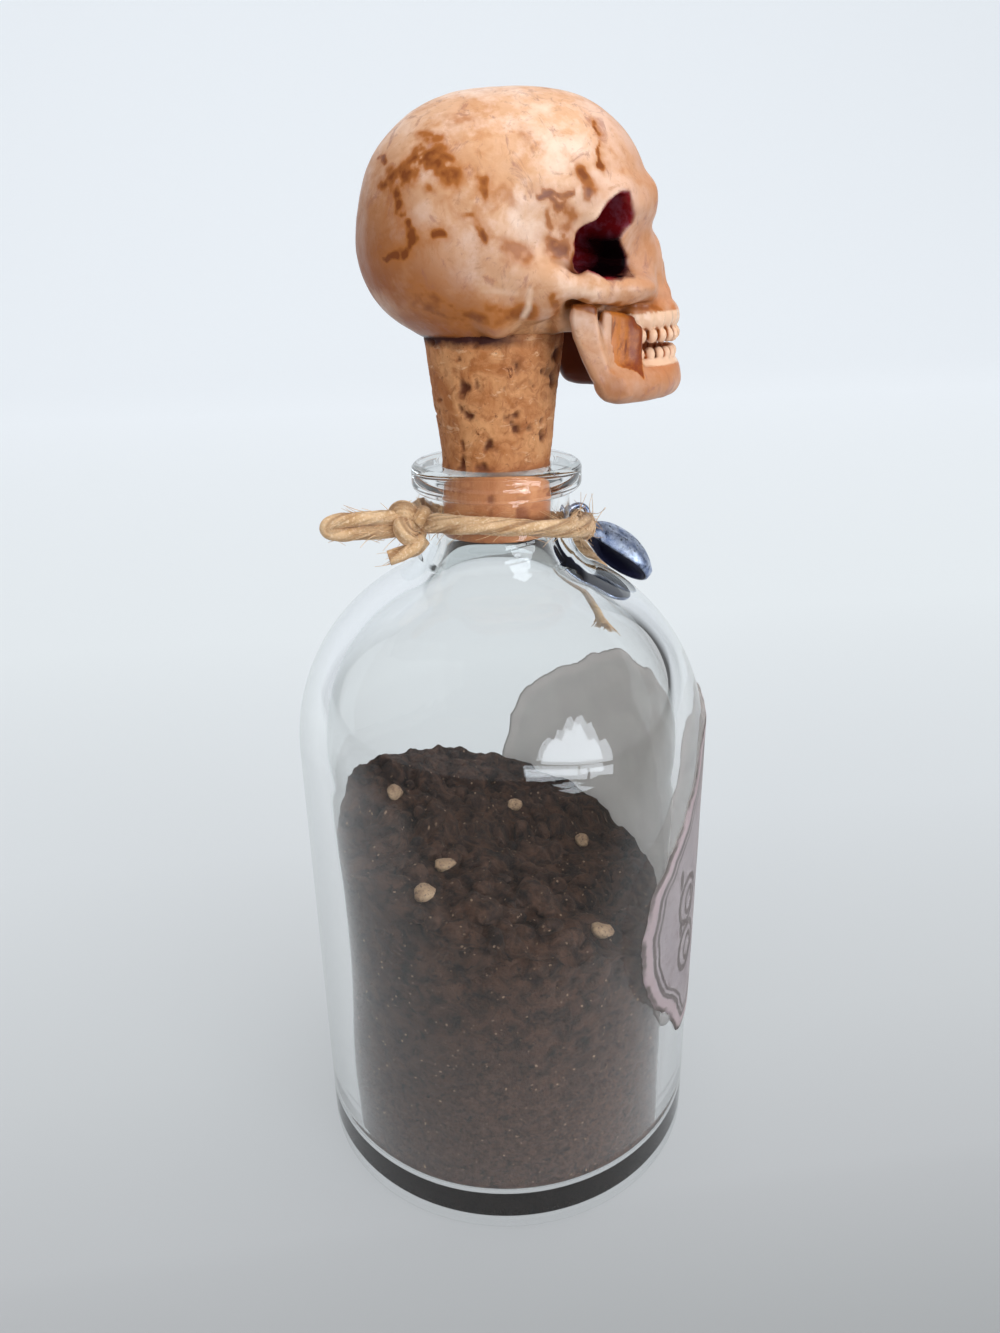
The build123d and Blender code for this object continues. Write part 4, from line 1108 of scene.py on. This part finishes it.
# Marks on the label: centre and half sizes of its curls, leaves and rules
CURLS = [(-24.5, 21.0), (-24.0, 13.6), (22.5, 22.0), (22.0, 14.5)]
LEAVES = [(-0.5, 27.0, 2.4, 6.2), (-5.0, 26.0, 1.5, 4.4), (4.0, 26.0, 1.5, 4.4), (-0.5, 15.5, 7.5, 0.45),
          (-0.5, 35.4, 7.5, 0.45)]


def label_ink(shade, edge, across, up):
    def line(distance, width, soft=0.07):
        return shade.ramp(shade.sum(distance, 0.0, "ABSOLUTE"), width / 2 + soft, width / 2 - soft)

    def oval(centre_u, centre_v, half_u, half_v):
        u = shade.sum(shade.sum(across, centre_u, "SUBTRACT"), half_u, "DIVIDE")
        v = shade.sum(shade.sum(up, centre_v, "SUBTRACT"), half_v, "DIVIDE")
        size = shade.sum(shade.sum(shade.times(u, u), shade.times(v, v)), 0.5, "POWER")
        return shade.times(shade.sum(size, 1.0, "SUBTRACT"), min(half_u, half_v))

    # A double border drawn by hand, then plain curls, leaves and rules
    wobble = shade.times(shade.sum(shade.noise(0.9, 3), 0.5, "SUBTRACT"), 0.35)
    hand_edge = shade.sum(edge, wobble)
    marks = [line(shade.sum(hand_edge, inset, "SUBTRACT"), width)
             for inset, width in ((2.1, 0.62), (3.0, 0.42))]
    for u, v in CURLS:
        marks.append(line(shade.sum(oval(u, v, 2.7, 3.3), wobble), 0.75))
        marks.append(line(oval(u + 0.5, v - 0.4, 1.3, 1.8), 0.6))
        marks.append(shade.ramp(oval(u - 2.5, v + 4.2, 0.5, 1.5), 0.08, -0.08))
    marks.append(line(oval(-0.5, 25.0, 16.0, 15.0), 0.5))
    marks.append(line(oval(-0.5, 25.0, 14.8, 13.8), 0.22))
    marks += [shade.ramp(oval(*leaf), 0.08, -0.08) for leaf in LEAVES]
    ink = marks[0]
    for mark in marks[1:]:
        ink = shade.sum(ink, mark, "MAXIMUM")
    worn = shade.spots(0.3, 0.5, 0.5, 4, 0.7)
    return shade.times(ink, shade.sum(shade.times(worn, 0.3), 0.7))


def label_material():
    shade = Shade("aged_paper", Roughness=0.8)
    edge, across, up = (shade.attribute(name) for name in ("edge", "across", "up"))
    paper = shade.blend(shade.spots(0.35, 0.65, 5.0, 5, 0.65), rgb(178, 168, 174), rgb(156, 147, 154))
    paper = shade.over(paper, shade.spots(0.5, 0.68, 1.6, 5, 0.7), rgb(146, 132, 138))
    paper = shade.over(paper, shade.ramp(edge, 1.9, 1.5), rgb(202, 176, 182), 0.7)
    front = shade.over(paper, label_ink(shade, edge, across, up), rgb(46, 32, 42), 0.9)
    scorch = shade.ramp(shade.sum(edge, shade.times(shade.noise(1.4, 4), -0.9)), 0.28, -0.02)
    front = shade.over(front, shade.times(scorch, shade.spots(0.4, 0.55, 3.5, 3)), rgb(60, 44, 46))
    back = shade.blend(shade.spots(0.35, 0.65, 4.0, 4), rgb(246, 238, 232), rgb(232, 222, 218))
    back = shade.over(back, shade.ramp(edge, 0.35, 0.1), rgb(132, 120, 118))
    shade.colour(shade.blend(shade.attribute("back"), front, back))
    shade.bump(shade.noise(0.7, 4, 0.6), 0.05, 0.6)
    # Thin paper lets light through from behind
    shade.mix_surface(0.5, shade.node("BsdfTranslucent", {"Color": (0.95, 0.93, 0.91, 1.0)}))
    return shade.material


# Twine

RING_CENTRE = (0.5, 0.0, 87.5)
RING_RADIUS = 10.2
RING_TILT = 5.9
KNOT_CENTRE = np.array((-10.63, -3.66, 88.49))
LOOP_DIRECTION = 184.0
TAIL_DIRECTION = 38.0
TAIL_RADIUS = 25.15
TAIL_END_SLOPE = 26.0


def away(direction):
    # One millimetre level with the ground, in a direction in degrees
    angle = math.radians(direction)
    return np.array((math.cos(angle), math.sin(angle), 0.0))


def ring_point(direction):
    angle, tilt = math.radians(direction), math.radians(RING_TILT)
    x, y = RING_RADIUS * math.cos(angle), RING_RADIUS * math.sin(angle)
    # Towards the viewer the twine rides up under the lip
    rise = 1.5 * max(0.0, -math.sin(angle)) ** 1.5
    return np.array((RING_CENTRE[0] + x * math.cos(tilt), y, RING_CENTRE[2] - x * math.sin(tilt) + rise))


def even_path(path, step):
    path = np.array(path, dtype=float)
    gaps = np.linalg.norm(np.diff(path, axis=0), axis=1)
    run = np.concatenate([[0], np.cumsum(gaps)])
    count = max(int(run[-1] / step), 2)
    at = np.linspace(0, run[-1], count + 1)
    return np.column_stack([np.interp(at, run, path[:, axis]) for axis in range(3)]), at


def frames(path):
    ahead = np.gradient(path, axis=0)
    ahead /= np.linalg.norm(ahead, axis=1, keepdims=True)
    start = np.cross(ahead[0], (0.13, 0.21, 0.97))
    side = start / np.linalg.norm(start)
    sides = []
    for direction in ahead:
        side = side - direction * (side @ direction)
        side = side / np.linalg.norm(side)
        sides.append(side)
    sides = np.array(sides)
    return ahead, sides, np.cross(ahead, sides)


def tube_rings(path, side, other, size, spin):
    # Rings of points round a path, each of its own size
    return (path[:, None, :] + side[:, None, :] * (size * np.cos(spin))[..., None]
            + other[:, None, :] * (size * np.sin(spin))[..., None])


class Yarn:
    """Gathers twisted strands and loose fibres into one mesh."""

    def __init__(self):
        self.points, self.faces, self.groove, self.cut, self.count = [], [], [], [], 0

    def add(self, points, groove, cut):
        self.points.append(points)
        self.groove.append(groove)
        self.cut.append(np.full(len(points), cut))
        self.count += len(points)

    def strand(self, path, radius, pitch=7.0, plies=2, seed=1, step=0.14, taper=(0.75, 0.75)):
        path, run = even_path(path, step)
        _, side, other = frames(path)
        around, rows = 44, len(path)
        spin = np.linspace(0, 2 * math.pi, around, endpoint=False)
        turned = spin[None, :] + (2 * math.pi * run / pitch)[:, None]
        lobe = np.abs(np.sin(plies * turned / 2)) ** 0.75
        key = np.stack([np.cos(turned) * radius, np.sin(turned) * radius,
                        np.broadcast_to(run[:, None] * 0.07, turned.shape)], axis=-1).reshape(-1, 3)
        fibre = rough_noise(key + seed * 3.3, 0.3, seed, 3).reshape(turned.shape)
        uneven = lattice_noise(path + seed, 3.5, seed + 9)[:, None]
        size = radius * (0.84 + 0.16 * lobe + 0.12 * fibre + 0.07 * uneven)
        ends = np.minimum(np.clip(run / 0.8, 0, 1) * (1 - taper[0]) + taper[0],
                          np.clip((run[-1] - run) / 0.8, 0, 1) * (1 - taper[1]) + taper[1])
        size = np.minimum(size, radius) * ends[:, None]
        base = self.count
        self.faces += tube_faces(base, rows, around)
        # Painted shade in the grooves between the plies, less where the fibres stand up
        self.add(tube_rings(path, side, other, size, spin).reshape(-1, 3),
                 (1 - lobe * 0.72 - 0.75 * fibre).reshape(-1), 0.0)
        # A flat end on each side
        for first, centre, order in ((base, path[0], -1), (base + (rows - 1) * around, path[-1], 1)):
            self.faces += [(first + k, first + (k + 1) % around, self.count)[::order] for k in range(around)]
            self.add(centre[None, :], np.array([0.9]), 1.0)

    def hair(self, path, radius):
        path = np.array(path, dtype=float)
        _, side, other = frames(path)
        around = 5
        spin = np.linspace(0, 2 * math.pi, around, endpoint=False)
        size = radius * np.linspace(1, 0.45, len(path))[:, None]
        self.faces += tube_faces(self.count, len(path), around)
        rings = tube_rings(path, side, other, size, spin).reshape(-1, 3)
        self.add(rings, np.full(len(rings), 0.3), 0.0)

    def fuzz(self, path, radius, count, seed, reach=1.2, size=0.05):
        draw = np.random.default_rng(seed)
        path, _ = even_path(path, 0.3)
        ahead, side, other = frames(path)
        for _ in range(count):
            i = int(draw.integers(0, len(path)))
            angle = draw.uniform(0, 2 * math.pi)
            out = side[i] * math.cos(angle) + other[i] * math.sin(angle)
            way = ahead[i] * draw.choice((-1, 1)) + out * draw.uniform(0.1, 0.55)
            bend = draw.normal(size=3) * 0.25
            length = reach * draw.uniform(0.5, 1.5)
            start = path[i] + out * radius * 0.86
            self.hair([start + way * length * t + bend * length * t * t for t in np.linspace(0, 1, 7)],
                      size * draw.uniform(0.5, 1.0))

    def build(self, name):
        piece = add_mesh(name, np.concatenate(self.points), self.faces)
        paint(piece, "groove", np.concatenate(self.groove))
        paint(piece, "cut", np.concatenate(self.cut))
        return piece


def make_ring():
    yarn = Yarn()
    upward = np.array((0, 0, 1.0))
    path = [ring_point(angle) for angle in np.linspace(199 + 11, 199 + 349, 90)]
    yarn.strand(path, 1.02, pitch=17.0, seed=3)
    yarn.fuzz(path, 1.0, 130, 4, reach=1.5, size=0.06)
    # A second strand laid along the near side
    near = []
    for lean, angle in zip(np.radians(np.linspace(-58, 92, 50)), np.linspace(203, 352, 50)):
        near.append(ring_point(angle) + away(angle) * math.cos(lean) * 0.62 + upward * 0.78 * math.sin(lean))
    yarn.strand(near, 0.72, pitch=12.0, seed=7, taper=(0.5, 0.5))
    yarn.fuzz(near, 0.7, 60, 8, reach=1.8, size=0.06)
    # The turn that holds the charm and the long tail, on the right
    lap = []
    for turn, angle in zip(np.radians(np.linspace(0, 430, 60)), np.linspace(-58, 4, 60)):
        lap.append(ring_point(angle) + away(angle) * math.cos(turn) * 0.5 + upward * math.sin(turn) * 0.85)
    yarn.strand(lap, 0.72, pitch=9.0, seed=5, taper=(0.4, 0.4))
    yarn.fuzz(lap, 0.7, 90, 6, reach=2.2, size=0.07)
    return yarn.build("twine_ring")


def make_knot():
    yarn = Yarn()
    # An overhand knot drawn tight, seen face on from the near side
    sight = np.array((-0.1, -0.78, 0.55))
    sight /= np.linalg.norm(sight)
    across = np.cross(sight, (0, 0, 1.0))
    across /= np.linalg.norm(across)
    upward = np.cross(across, sight)
    knot = []
    for t in np.linspace(0, 2 * math.pi, 90, endpoint=False)[4:-4]:
        u = (math.sin(t) + 2 * math.sin(2 * t)) * 0.5
        v = (math.cos(t) - 2 * math.cos(2 * t)) * 0.5
        w = -math.sin(3 * t) * 0.9
        knot.append(KNOT_CENTRE + across * u * 1.18 + upward * v * 1.18 + sight * w)
    yarn.strand(knot, 1.12, pitch=15.0, seed=13, taper=(0.8, 0.8))
    yarn.fuzz(knot, 1.1, 90, 14, reach=1.0, size=0.06)
    # What fills the middle: strands laid across
    middle = [KNOT_CENTRE + across * u + upward * 0.25 * u for u in (-1.5, -0.6, 0.6, 1.5)]
    yarn.strand(smooth_path(middle), 1.4, pitch=14.0, plies=3, seed=17, taper=(0.3, 0.3))
    return yarn.build("twine_knot_turns")


# The bow loop's shape beside the knot, outwards and upwards
LOOP_CORNERS = [(1.4, 0.7), (3.4, 0.82), (5.8, 0.86), (7.8, 0.8), (9.0, 0.5), (9.4, 0.0), (9.0, -0.5),
                (7.6, -0.8), (5.6, -0.84), (3.6, -0.8), (1.4, -0.7)]


def make_flat_loop():
    yarn = Yarn()
    path = smooth_path([KNOT_CENTRE + away(LOOP_DIRECTION) * u + (0, 0, v) for u, v in LOOP_CORNERS])
    yarn.strand(path, 0.88, pitch=14.0, seed=23, taper=(1, 1))
    yarn.fuzz(path, 0.86, 80, 24, reach=1.2, size=0.06)
    return yarn.build("twine_flat_loop_strands")


def make_short_tail():
    yarn = Yarn()
    turns = [(1.4, -0.9, -1.7), (0.4, -1.4, -2.6), (-1.1, -1.7, -3.1), (-2.7, -1.8, -3.5)]
    path = smooth_path([KNOT_CENTRE + turn for turn in turns])
    yarn.strand(path, 0.95, pitch=12.0, seed=33, taper=(1, 0.95))
    yarn.fuzz(path[-12:], 0.8, 26, 34, reach=0.8)
    return yarn.build("twine_short_end")


def make_long_tail():
    yarn = Yarn()
    # Down from the ring, then along the shoulder, as radius and height
    outside = away(TAIL_DIRECTION)
    above = ring_point(TAIL_DIRECTION)
    start = (math.hypot(above[0], above[1]) + 0.5, above[2] - 1.9)
    to_start = (start[0] - SHOULDER_X, start[1] - SIDE_HEIGHT)
    touch = math.atan2(to_start[1], to_start[0]) - math.acos(TAIL_RADIUS / math.hypot(*to_start))
    flat = [start] + arc((SHOULDER_X, SIDE_HEIGHT), TAIL_RADIUS, math.degrees(touch), TAIL_END_SLOPE, 12)
    path, _ = even_path([outside * radius + (0, 0, height) for radius, height in flat], 0.5)
    yarn.strand(path, 0.92, pitch=14.0, seed=43, taper=(1, 1.25))
    yarn.fuzz(path, 0.8, 26, 44)
    # The end has come apart into loose fibres
    draw = np.random.default_rng(47)
    end, along = path[-1], path[-1] - path[-4]
    along = along / np.linalg.norm(along)
    sideways = np.cross(along, outside)
    for _ in range(110):
        spread = sideways * draw.uniform(-0.6, 0.6) + outside * draw.uniform(-0.02, 0.16)
        base = end - along * 0.9 + sideways * draw.uniform(-1.1, 1.1) + outside * draw.uniform(-0.3, 0.6)
        length = draw.uniform(1.6, 3.3)
        yarn.hair([base + (along + spread * (0.4 + t)) * length * t for t in np.linspace(0, 1, 6)],
                  draw.uniform(0.08, 0.17))
    return yarn.build("twine_long_end")


def twine_material():
    shade = Shade("jute", Roughness=0.85, Sheen_Weight=0.15)
    base = shade.blend(shade.spots(0.35, 0.65, 2.6, 4, 0.6), rgb(230, 194, 152), rgb(202, 158, 112))
    base = shade.over(base, shade.spots(0.5, 0.68, 0.35, 4, 0.7), rgb(242, 216, 182))
    # Painted shade in the grooves between the plies
    base = shade.over(base, shade.ramp(shade.attribute("groove"), 0.3, 1.1), rgb(142, 98, 60), 0.7)
    shade.colour(shade.over(base, shade.attribute("cut"), rgb(126, 46, 26), 0.9))
    shade.bump(shade.noise(0.16, 3, 0.7), 0.05, 0.6)
    return shade.material


# Charm

CHARM_PLACE = (10.345, 2.468, 86.482)
CHARM_SLOPE = 42.31
CHARM_AZIMUTH = 14.0
CHARM_ROLL = -12.0
CHARM_START = 1.68
CHARM_LENGTH = 11.4
CHARM_MIDDLE = CHARM_START + CHARM_LENGTH / 2
CHARM_LOW = -0.9
RING_REACH, WIRE_ACROSS, WIRE_DEEP = 1.5, 0.37, 0.34


def drop_edge(angle):
    # The outline of the drop as seen from its middle: a round end joined to a small tip
    tip, tip_radius = CHARM_START + 1.1, 1.1
    end, end_radius = CHARM_START + CHARM_LENGTH - 4.0, 4.0
    way = np.array((math.cos(angle), math.sin(angle)))
    best = 0.0
    for share in np.linspace(0, 1, 60):
        centre = tip + (end - tip) * share - CHARM_MIDDLE
        radius = tip_radius + (end_radius - tip_radius) * share
        inner = radius ** 2 - centre ** 2 * way[1] ** 2
        if inner > 0:
            best = max(best, centre * way[0] + math.sqrt(inner))
    return best


def turn_about(points, axis, degrees):
    return np.asarray(points, dtype=float) @ np.array(Matrix.Rotation(math.radians(degrees), 3, axis)).T


def charm_body():
    # Rows of points round the drop: over its top, round its rim and back under it
    around, rings = 120, 26
    angles = np.linspace(0, 2 * math.pi, around, endpoint=False)
    edges = np.array([drop_edge(angle) for angle in angles])

    def surface(share, half, drop):
        x = edges * share * np.cos(angles)
        y = edges * share * np.sin(angles)
        height = 2.3 * np.sqrt(np.maximum(1 - (x / half[0]) ** 2 - (y / half[1]) ** 2, 0)) + CHARM_LOW - drop
        return np.column_stack([x + CHARM_MIDDLE, y, height])

    rows = []
    for share in np.linspace(0.02, 1, rings):
        row = surface(share, (7.07, 4.96), 0)
        row[:, 2] += 1.5 * (1 - share ** 2)
        # Cast ridges that fan out from the tip, and a worn rim
        fan = np.arctan2(row[:, 1], row[:, 0] - CHARM_START + 2.0)
        ridges = 0.06 * np.clip(share * 2 - 0.3, 0, 1) * np.clip((0.97 - share) * 12, 0, 1)
        row[:, 2] += ridges * np.cos(fan * 26)
        row[:, 2] += lattice_noise(row, 1.1, 95) * 0.05 - 0.03
        rows.append(row)
    for inset, height in ((1.0, 0.5), (0.985, 0.12), (0.955, 0.0), (0.925, 0.06)):
        rows.append((rows[rings - 1] - (CHARM_MIDDLE, 0, CHARM_LOW)) * (inset, inset, height)
                    + (CHARM_MIDDLE, 0, CHARM_LOW))
    for share in np.linspace(0.9, 0.02, rings):
        row = surface(share, (6.37, 4.26), 0.7)
        row[:, 2] = np.maximum(row[:, 2], CHARM_LOW + 0.06)
        rows.append(row)
    faces = [face[::-1] for face in tube_faces(0, len(rows), around)]
    last = (len(rows) - 1) * around
    faces.append(tuple(range(around)))
    faces.append(tuple(range(last + around - 1, last - 1, -1)))
    # The underside gets painted shade
    underside_shade = np.repeat(np.arange(len(rows)) >= rings + 3, around)
    return turn_about(np.concatenate(rows), "X", CHARM_ROLL), faces, underside_shade.astype(float)


def charm_ring(start, turns=60, wire=14):
    # The hanging ring: round wire, a little flattened, standing across the twine
    points, faces = [], []
    for i in range(turns):
        a = 2 * math.pi * i / turns
        for k in range(wire):
            b = 2 * math.pi * k / wire
            radius = RING_REACH + WIRE_ACROSS * math.cos(b)
            points.append((radius * math.cos(a), WIRE_DEEP * math.sin(b), radius * math.sin(a)))
    for i in range(turns):
        here, ahead = start + i * wire, start + (i + 1) % turns * wire
        for k in range(wire):
            n = (k + 1) % wire
            faces.append((here + k, here + n, ahead + n, ahead + k))
    return points, faces


def make_charm():
    body, faces, underside_shade = charm_body()
    ring, ring_faces = charm_ring(len(body))
    points = turn_about(np.concatenate([body, ring]), "Y", CHARM_SLOPE)
    points = turn_about(points, "Z", CHARM_AZIMUTH) + CHARM_PLACE
    piece = add_mesh("charm_drop", points, faces + ring_faces)
    paint(piece, "underside_shade", np.concatenate([underside_shade, np.zeros(len(ring))]))
    return piece


def charm_material():
    shade = Shade("blued_silver", Roughness=0.34, Metallic=0.75)
    base = shade.blend(shade.spots(0.38, 0.62, 1.5, 5, 0.7), rgb(216, 226, 244), rgb(132, 148, 186))
    base = shade.over(base, shade.spots(0.52, 0.64, 0.7, 5, 0.75), rgb(52, 58, 86))
    # Painted shade on the underside
    shade.colour(shade.over(base, shade.attribute("underside_shade"), rgb(34, 36, 66)))
    shade.roughness(shade.ramp(shade.noise(1.0, 4), 0.3, 0.7, 0.25, 0.5))
    shade.bump(shade.noise(0.5, 4, 0.7), 0.08, 0.7)
    return shade.material


# Stage and camera

def stage_material():
    shade = Shade("stage_paper", Roughness=0.9)
    split = shade.node("SeparateXYZ", {"Vector": shade.place()})
    run = split.outputs["Y"]
    # Painted shade on the floor: it is paler away from the camera, and dark behind the camera where the room
    # is
    tone = rgb(165, 168, 170)
    for start, end, colour in (
            (-50.0, -22.0, rgb(187, 190, 193)), (-25.0, 8.0, rgb(200, 204, 207)),
            (8.0, 70.0, rgb(215, 220, 224)), (70.0, 200.0, rgb(229, 235, 239)),
            (200.0, 700.0, rgb(243, 249, 255)), (-50.0, -80.0, rgb(108, 106, 104))):
        tone = shade.over(tone, shade.ramp(run, start, end), colour)
    # Painted shade far out to the sides
    wide = shade.sum(split.outputs["X"], 0.0, "ABSOLUTE")
    far_side_shade = shade.ramp(shade.sum(wide, shade.times(run, -0.75)), 260.0, 640.0)
    tone = shade.over(tone, far_side_shade, rgb(100, 101, 102))
    shade.colour(tone)
    # It shines a little by itself where it is seen, mirrored or looked at through glass
    glow = shade.node("Emission", {"Color": tone, "Strength": 1.0})
    path = shade.node("LightPath")
    seen = shade.sum(path.outputs["Is Camera Ray"],
                     shade.sum(path.outputs["Is Glossy Ray"], path.outputs["Is Transmission Ray"]))
    shade.mix_surface(shade.times(shade.ramp(seen, 0.0, 1.0), 0.7), glow)
    return shade.material


FLOOR_FRONT, FLOOR_BACK, STAGE_HALF = -1600, 900, 1800
STAGE_BEND, STAGE_TOP = 600, 1800


def make_stage():
    # A floor that curves up into a backdrop behind the object
    run = [(FLOOR_FRONT, 0), (-400, 0), (500, 0)]
    run += arc((FLOOR_BACK, STAGE_BEND), STAGE_BEND, -90, 0, 16)
    run += [(FLOOR_BACK + STAGE_BEND, STAGE_TOP)]
    points = [(side, y, z) for side in (-STAGE_HALF, STAGE_HALF) for y, z in run]
    count = len(run)
    faces = [(count + i, count + i + 1, i + 1, i) for i in range(count - 1)]
    stage = add_mesh("stage", points, faces)
    stage.data.materials.append(stage_material())


def add_area(name, place, target, size, power, colour):
    lamp = bpy.data.lights.new(name, "AREA")
    lamp.shape = "RECTANGLE"
    lamp.size, lamp.size_y = size[0] * MM, size[1] * MM
    lamp.energy, lamp.color = power, colour
    holder = bpy.data.objects.new(name, lamp)
    holder.location = Vector(place) * MM
    holder.rotation_euler = (Vector(target) - Vector(place)).to_track_quat("-Z", "Y").to_euler()
    holder.visible_glossy = False
    holder.visible_transmission = False
    bpy.context.scene.collection.objects.link(holder)


def emitter(name, corners):
    # A bright shape in the room that the glass reflects
    piece = add_mesh(name, corners, [range(len(corners))], smooth=False)
    shade = Shade(name + "_light")
    shade.tree.nodes.remove(shade.surface)
    glow = shade.node("Emission", {"Color": (*PANEL_COLOUR, 1.0), "Strength": PANEL_STRENGTH})
    shade.tree.links.new(glow.outputs[0], shade.output.inputs["Surface"])
    piece.data.materials.append(shade.material)


PANEL_COLOUR = (0.86, 0.93, 1.0)
PANEL_STRENGTH = 7.0

# Corners of the bright panels: the window with a ragged top of leaves behind it, its two low panes,
# and a patch of daylight on the table, which the neck picks up
PANELS = [
    [(100, -489, 138), (122, -473, 190), (142, -457, 222), (174, -438, 241), (199, -435, 221),
     (224, -402, 265), (244, -398, 250), (269, -354, 296), (290, -338, 295), (310, -346, 252),
     (326, -331, 252), (335, -339, 220), (350, -346, 164), (371, -321, 165), (387, -315, 109),
     (389, -317, 61), (303, -400, 84), (182, -467, 117)],
    [(33, -500, 123), (116, -489, 109), (201, -461, 91), (294, -408, 67), (289, -409, 20), (198, -463, 45),
     (113, -492, 50), (35, -504, 65)],
    [(305, -399, 65), (387, -319, 44), (381, -318, 3), (335, -372, 21), (300, -401, 16)],
    [(150, -285, 2), (215, -270, 2), (250, -420, 2), (160, -440, 2)]]


def light_world():
    # The room is dimmer where it is mirrored, and brighter where it is seen through glass
    world = bpy.data.worlds.new("studio")
    world.use_nodes = True
    bpy.context.scene.world = world
    nodes, links = world.node_tree.nodes, world.node_tree.links
    background = nodes["Background"]
    background.inputs["Color"].default_value = (0.95, 0.97, 1.0, 1.0)
    path, level = nodes.new("ShaderNodeLightPath"), nodes.new("ShaderNodeMapRange")
    through, either = nodes.new("ShaderNodeMath"), nodes.new("ShaderNodeMath")
    level.inputs["To Min"].default_value = 0.42
    level.inputs["To Max"].default_value = 0.12
    through.operation = "MULTIPLY"
    through.inputs[1].default_value = 0.6
    either.operation = "MAXIMUM"
    links.new(path.outputs["Is Glossy Ray"], level.inputs["Value"])
    links.new(path.outputs["Is Transmission Ray"], through.inputs[0])
    links.new(level.outputs["Result"], either.inputs[0])
    links.new(through.outputs[0], either.inputs[1])
    links.new(either.outputs[0], background.inputs["Strength"])


def add_lights():
    light_world()
    add_area("ceiling", (260, -60, 1200), (0, 0, 60), (900, 900), 9.0, (1.0, 0.97, 0.93))
    add_area("side", (700, -900, 420), (0, 0, 70), (700, 500), 3.2, (0.94, 0.97, 1.0))
    add_area("fill", (-800, -820, 420), (0, 0, 50), (600, 500), 2.8, (1.0, 0.97, 0.94))
    for index, panel in enumerate(PANELS):
        emitter(f"panel_{index}", panel)


CAMERA_PLACE = (-16.47, -117.20, 117.57)
CAMERA_HEADING = 8.0
CAMERA_PITCH = 22.6
CAMERA_ROLL = -1.06
PHOTO_FOCUS_PX = 1010.0
PHOTO_HEIGHT_PX = 1333.0
SENSOR = 36.0


def add_camera():
    data = bpy.data.cameras.new("camera")
    data.sensor_width = SENSOR
    data.lens = PHOTO_FOCUS_PX / PHOTO_HEIGHT_PX * SENSOR
    data.clip_start = 0.005
    camera = bpy.data.objects.new("camera", data)
    heading, pitch = math.radians(CAMERA_HEADING), math.radians(CAMERA_PITCH)
    level = math.cos(pitch)
    look = Vector((math.sin(heading) * level, math.cos(heading) * level, -math.sin(pitch)))
    turn = look.to_track_quat("-Z", "Y").to_matrix().to_4x4()
    roll = Matrix.Rotation(math.radians(CAMERA_ROLL), 4, "Z")
    camera.matrix_world = Matrix.Translation(Vector(CAMERA_PLACE) * MM) @ turn @ roll
    bpy.context.scene.collection.objects.link(camera)
    bpy.context.scene.camera = camera


def dress(piece, material, body, slot, *nodes):
    # The look of a piece, the body that it rides on, and the nodes that it stands in for. The slot is not
    # used.
    piece.data.materials.append(material)
    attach(piece, body)
    if nodes:
        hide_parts(*nodes)


# The scene, piece by piece

bpy.context.scene.view_settings.view_transform = "Standard"
add_camera()
make_stage()
add_lights()

bone = bone_material()
dress(cast_piece("skull", sculpt_cranium(), 51), bone, "stopper", "cast_resin", "skull_cranium")
dress(cast_piece("jaw_bone", sculpt_jaw(), 61), bone, "jaw", "cast_resin", "skull_jaw")
dress(make_cork(), cork_material(), "stopper", "cork", "cork_stopper")
dress(make_glass(), glass_material(), "bottle", "clear_glass", "bottle")
soil_look = soil_material()
dress(make_soil(), soil_look, "bottle", "soil", "soil_fill")
dress(make_clods(), soil_look, "bottle", "soil")
dress(make_pebbles(), pebble_material(), "bottle", "stones", "soil_stones")
dress(make_label(), label_material(), "bottle", "label_paper", "front_label")
jute = twine_material()
for make, node in ((make_ring, "twine_neck_loop"), (make_knot, "twine_knot"),
                   (make_flat_loop, "twine_flat_loop"), (make_short_tail, "twine_short_tail"),
                   (make_long_tail, "twine_long_tail")):
    dress(make(), jute, "bottle", "twine", node)
dress(make_charm(), charm_material(), "charm", "charm_metal", "charm")
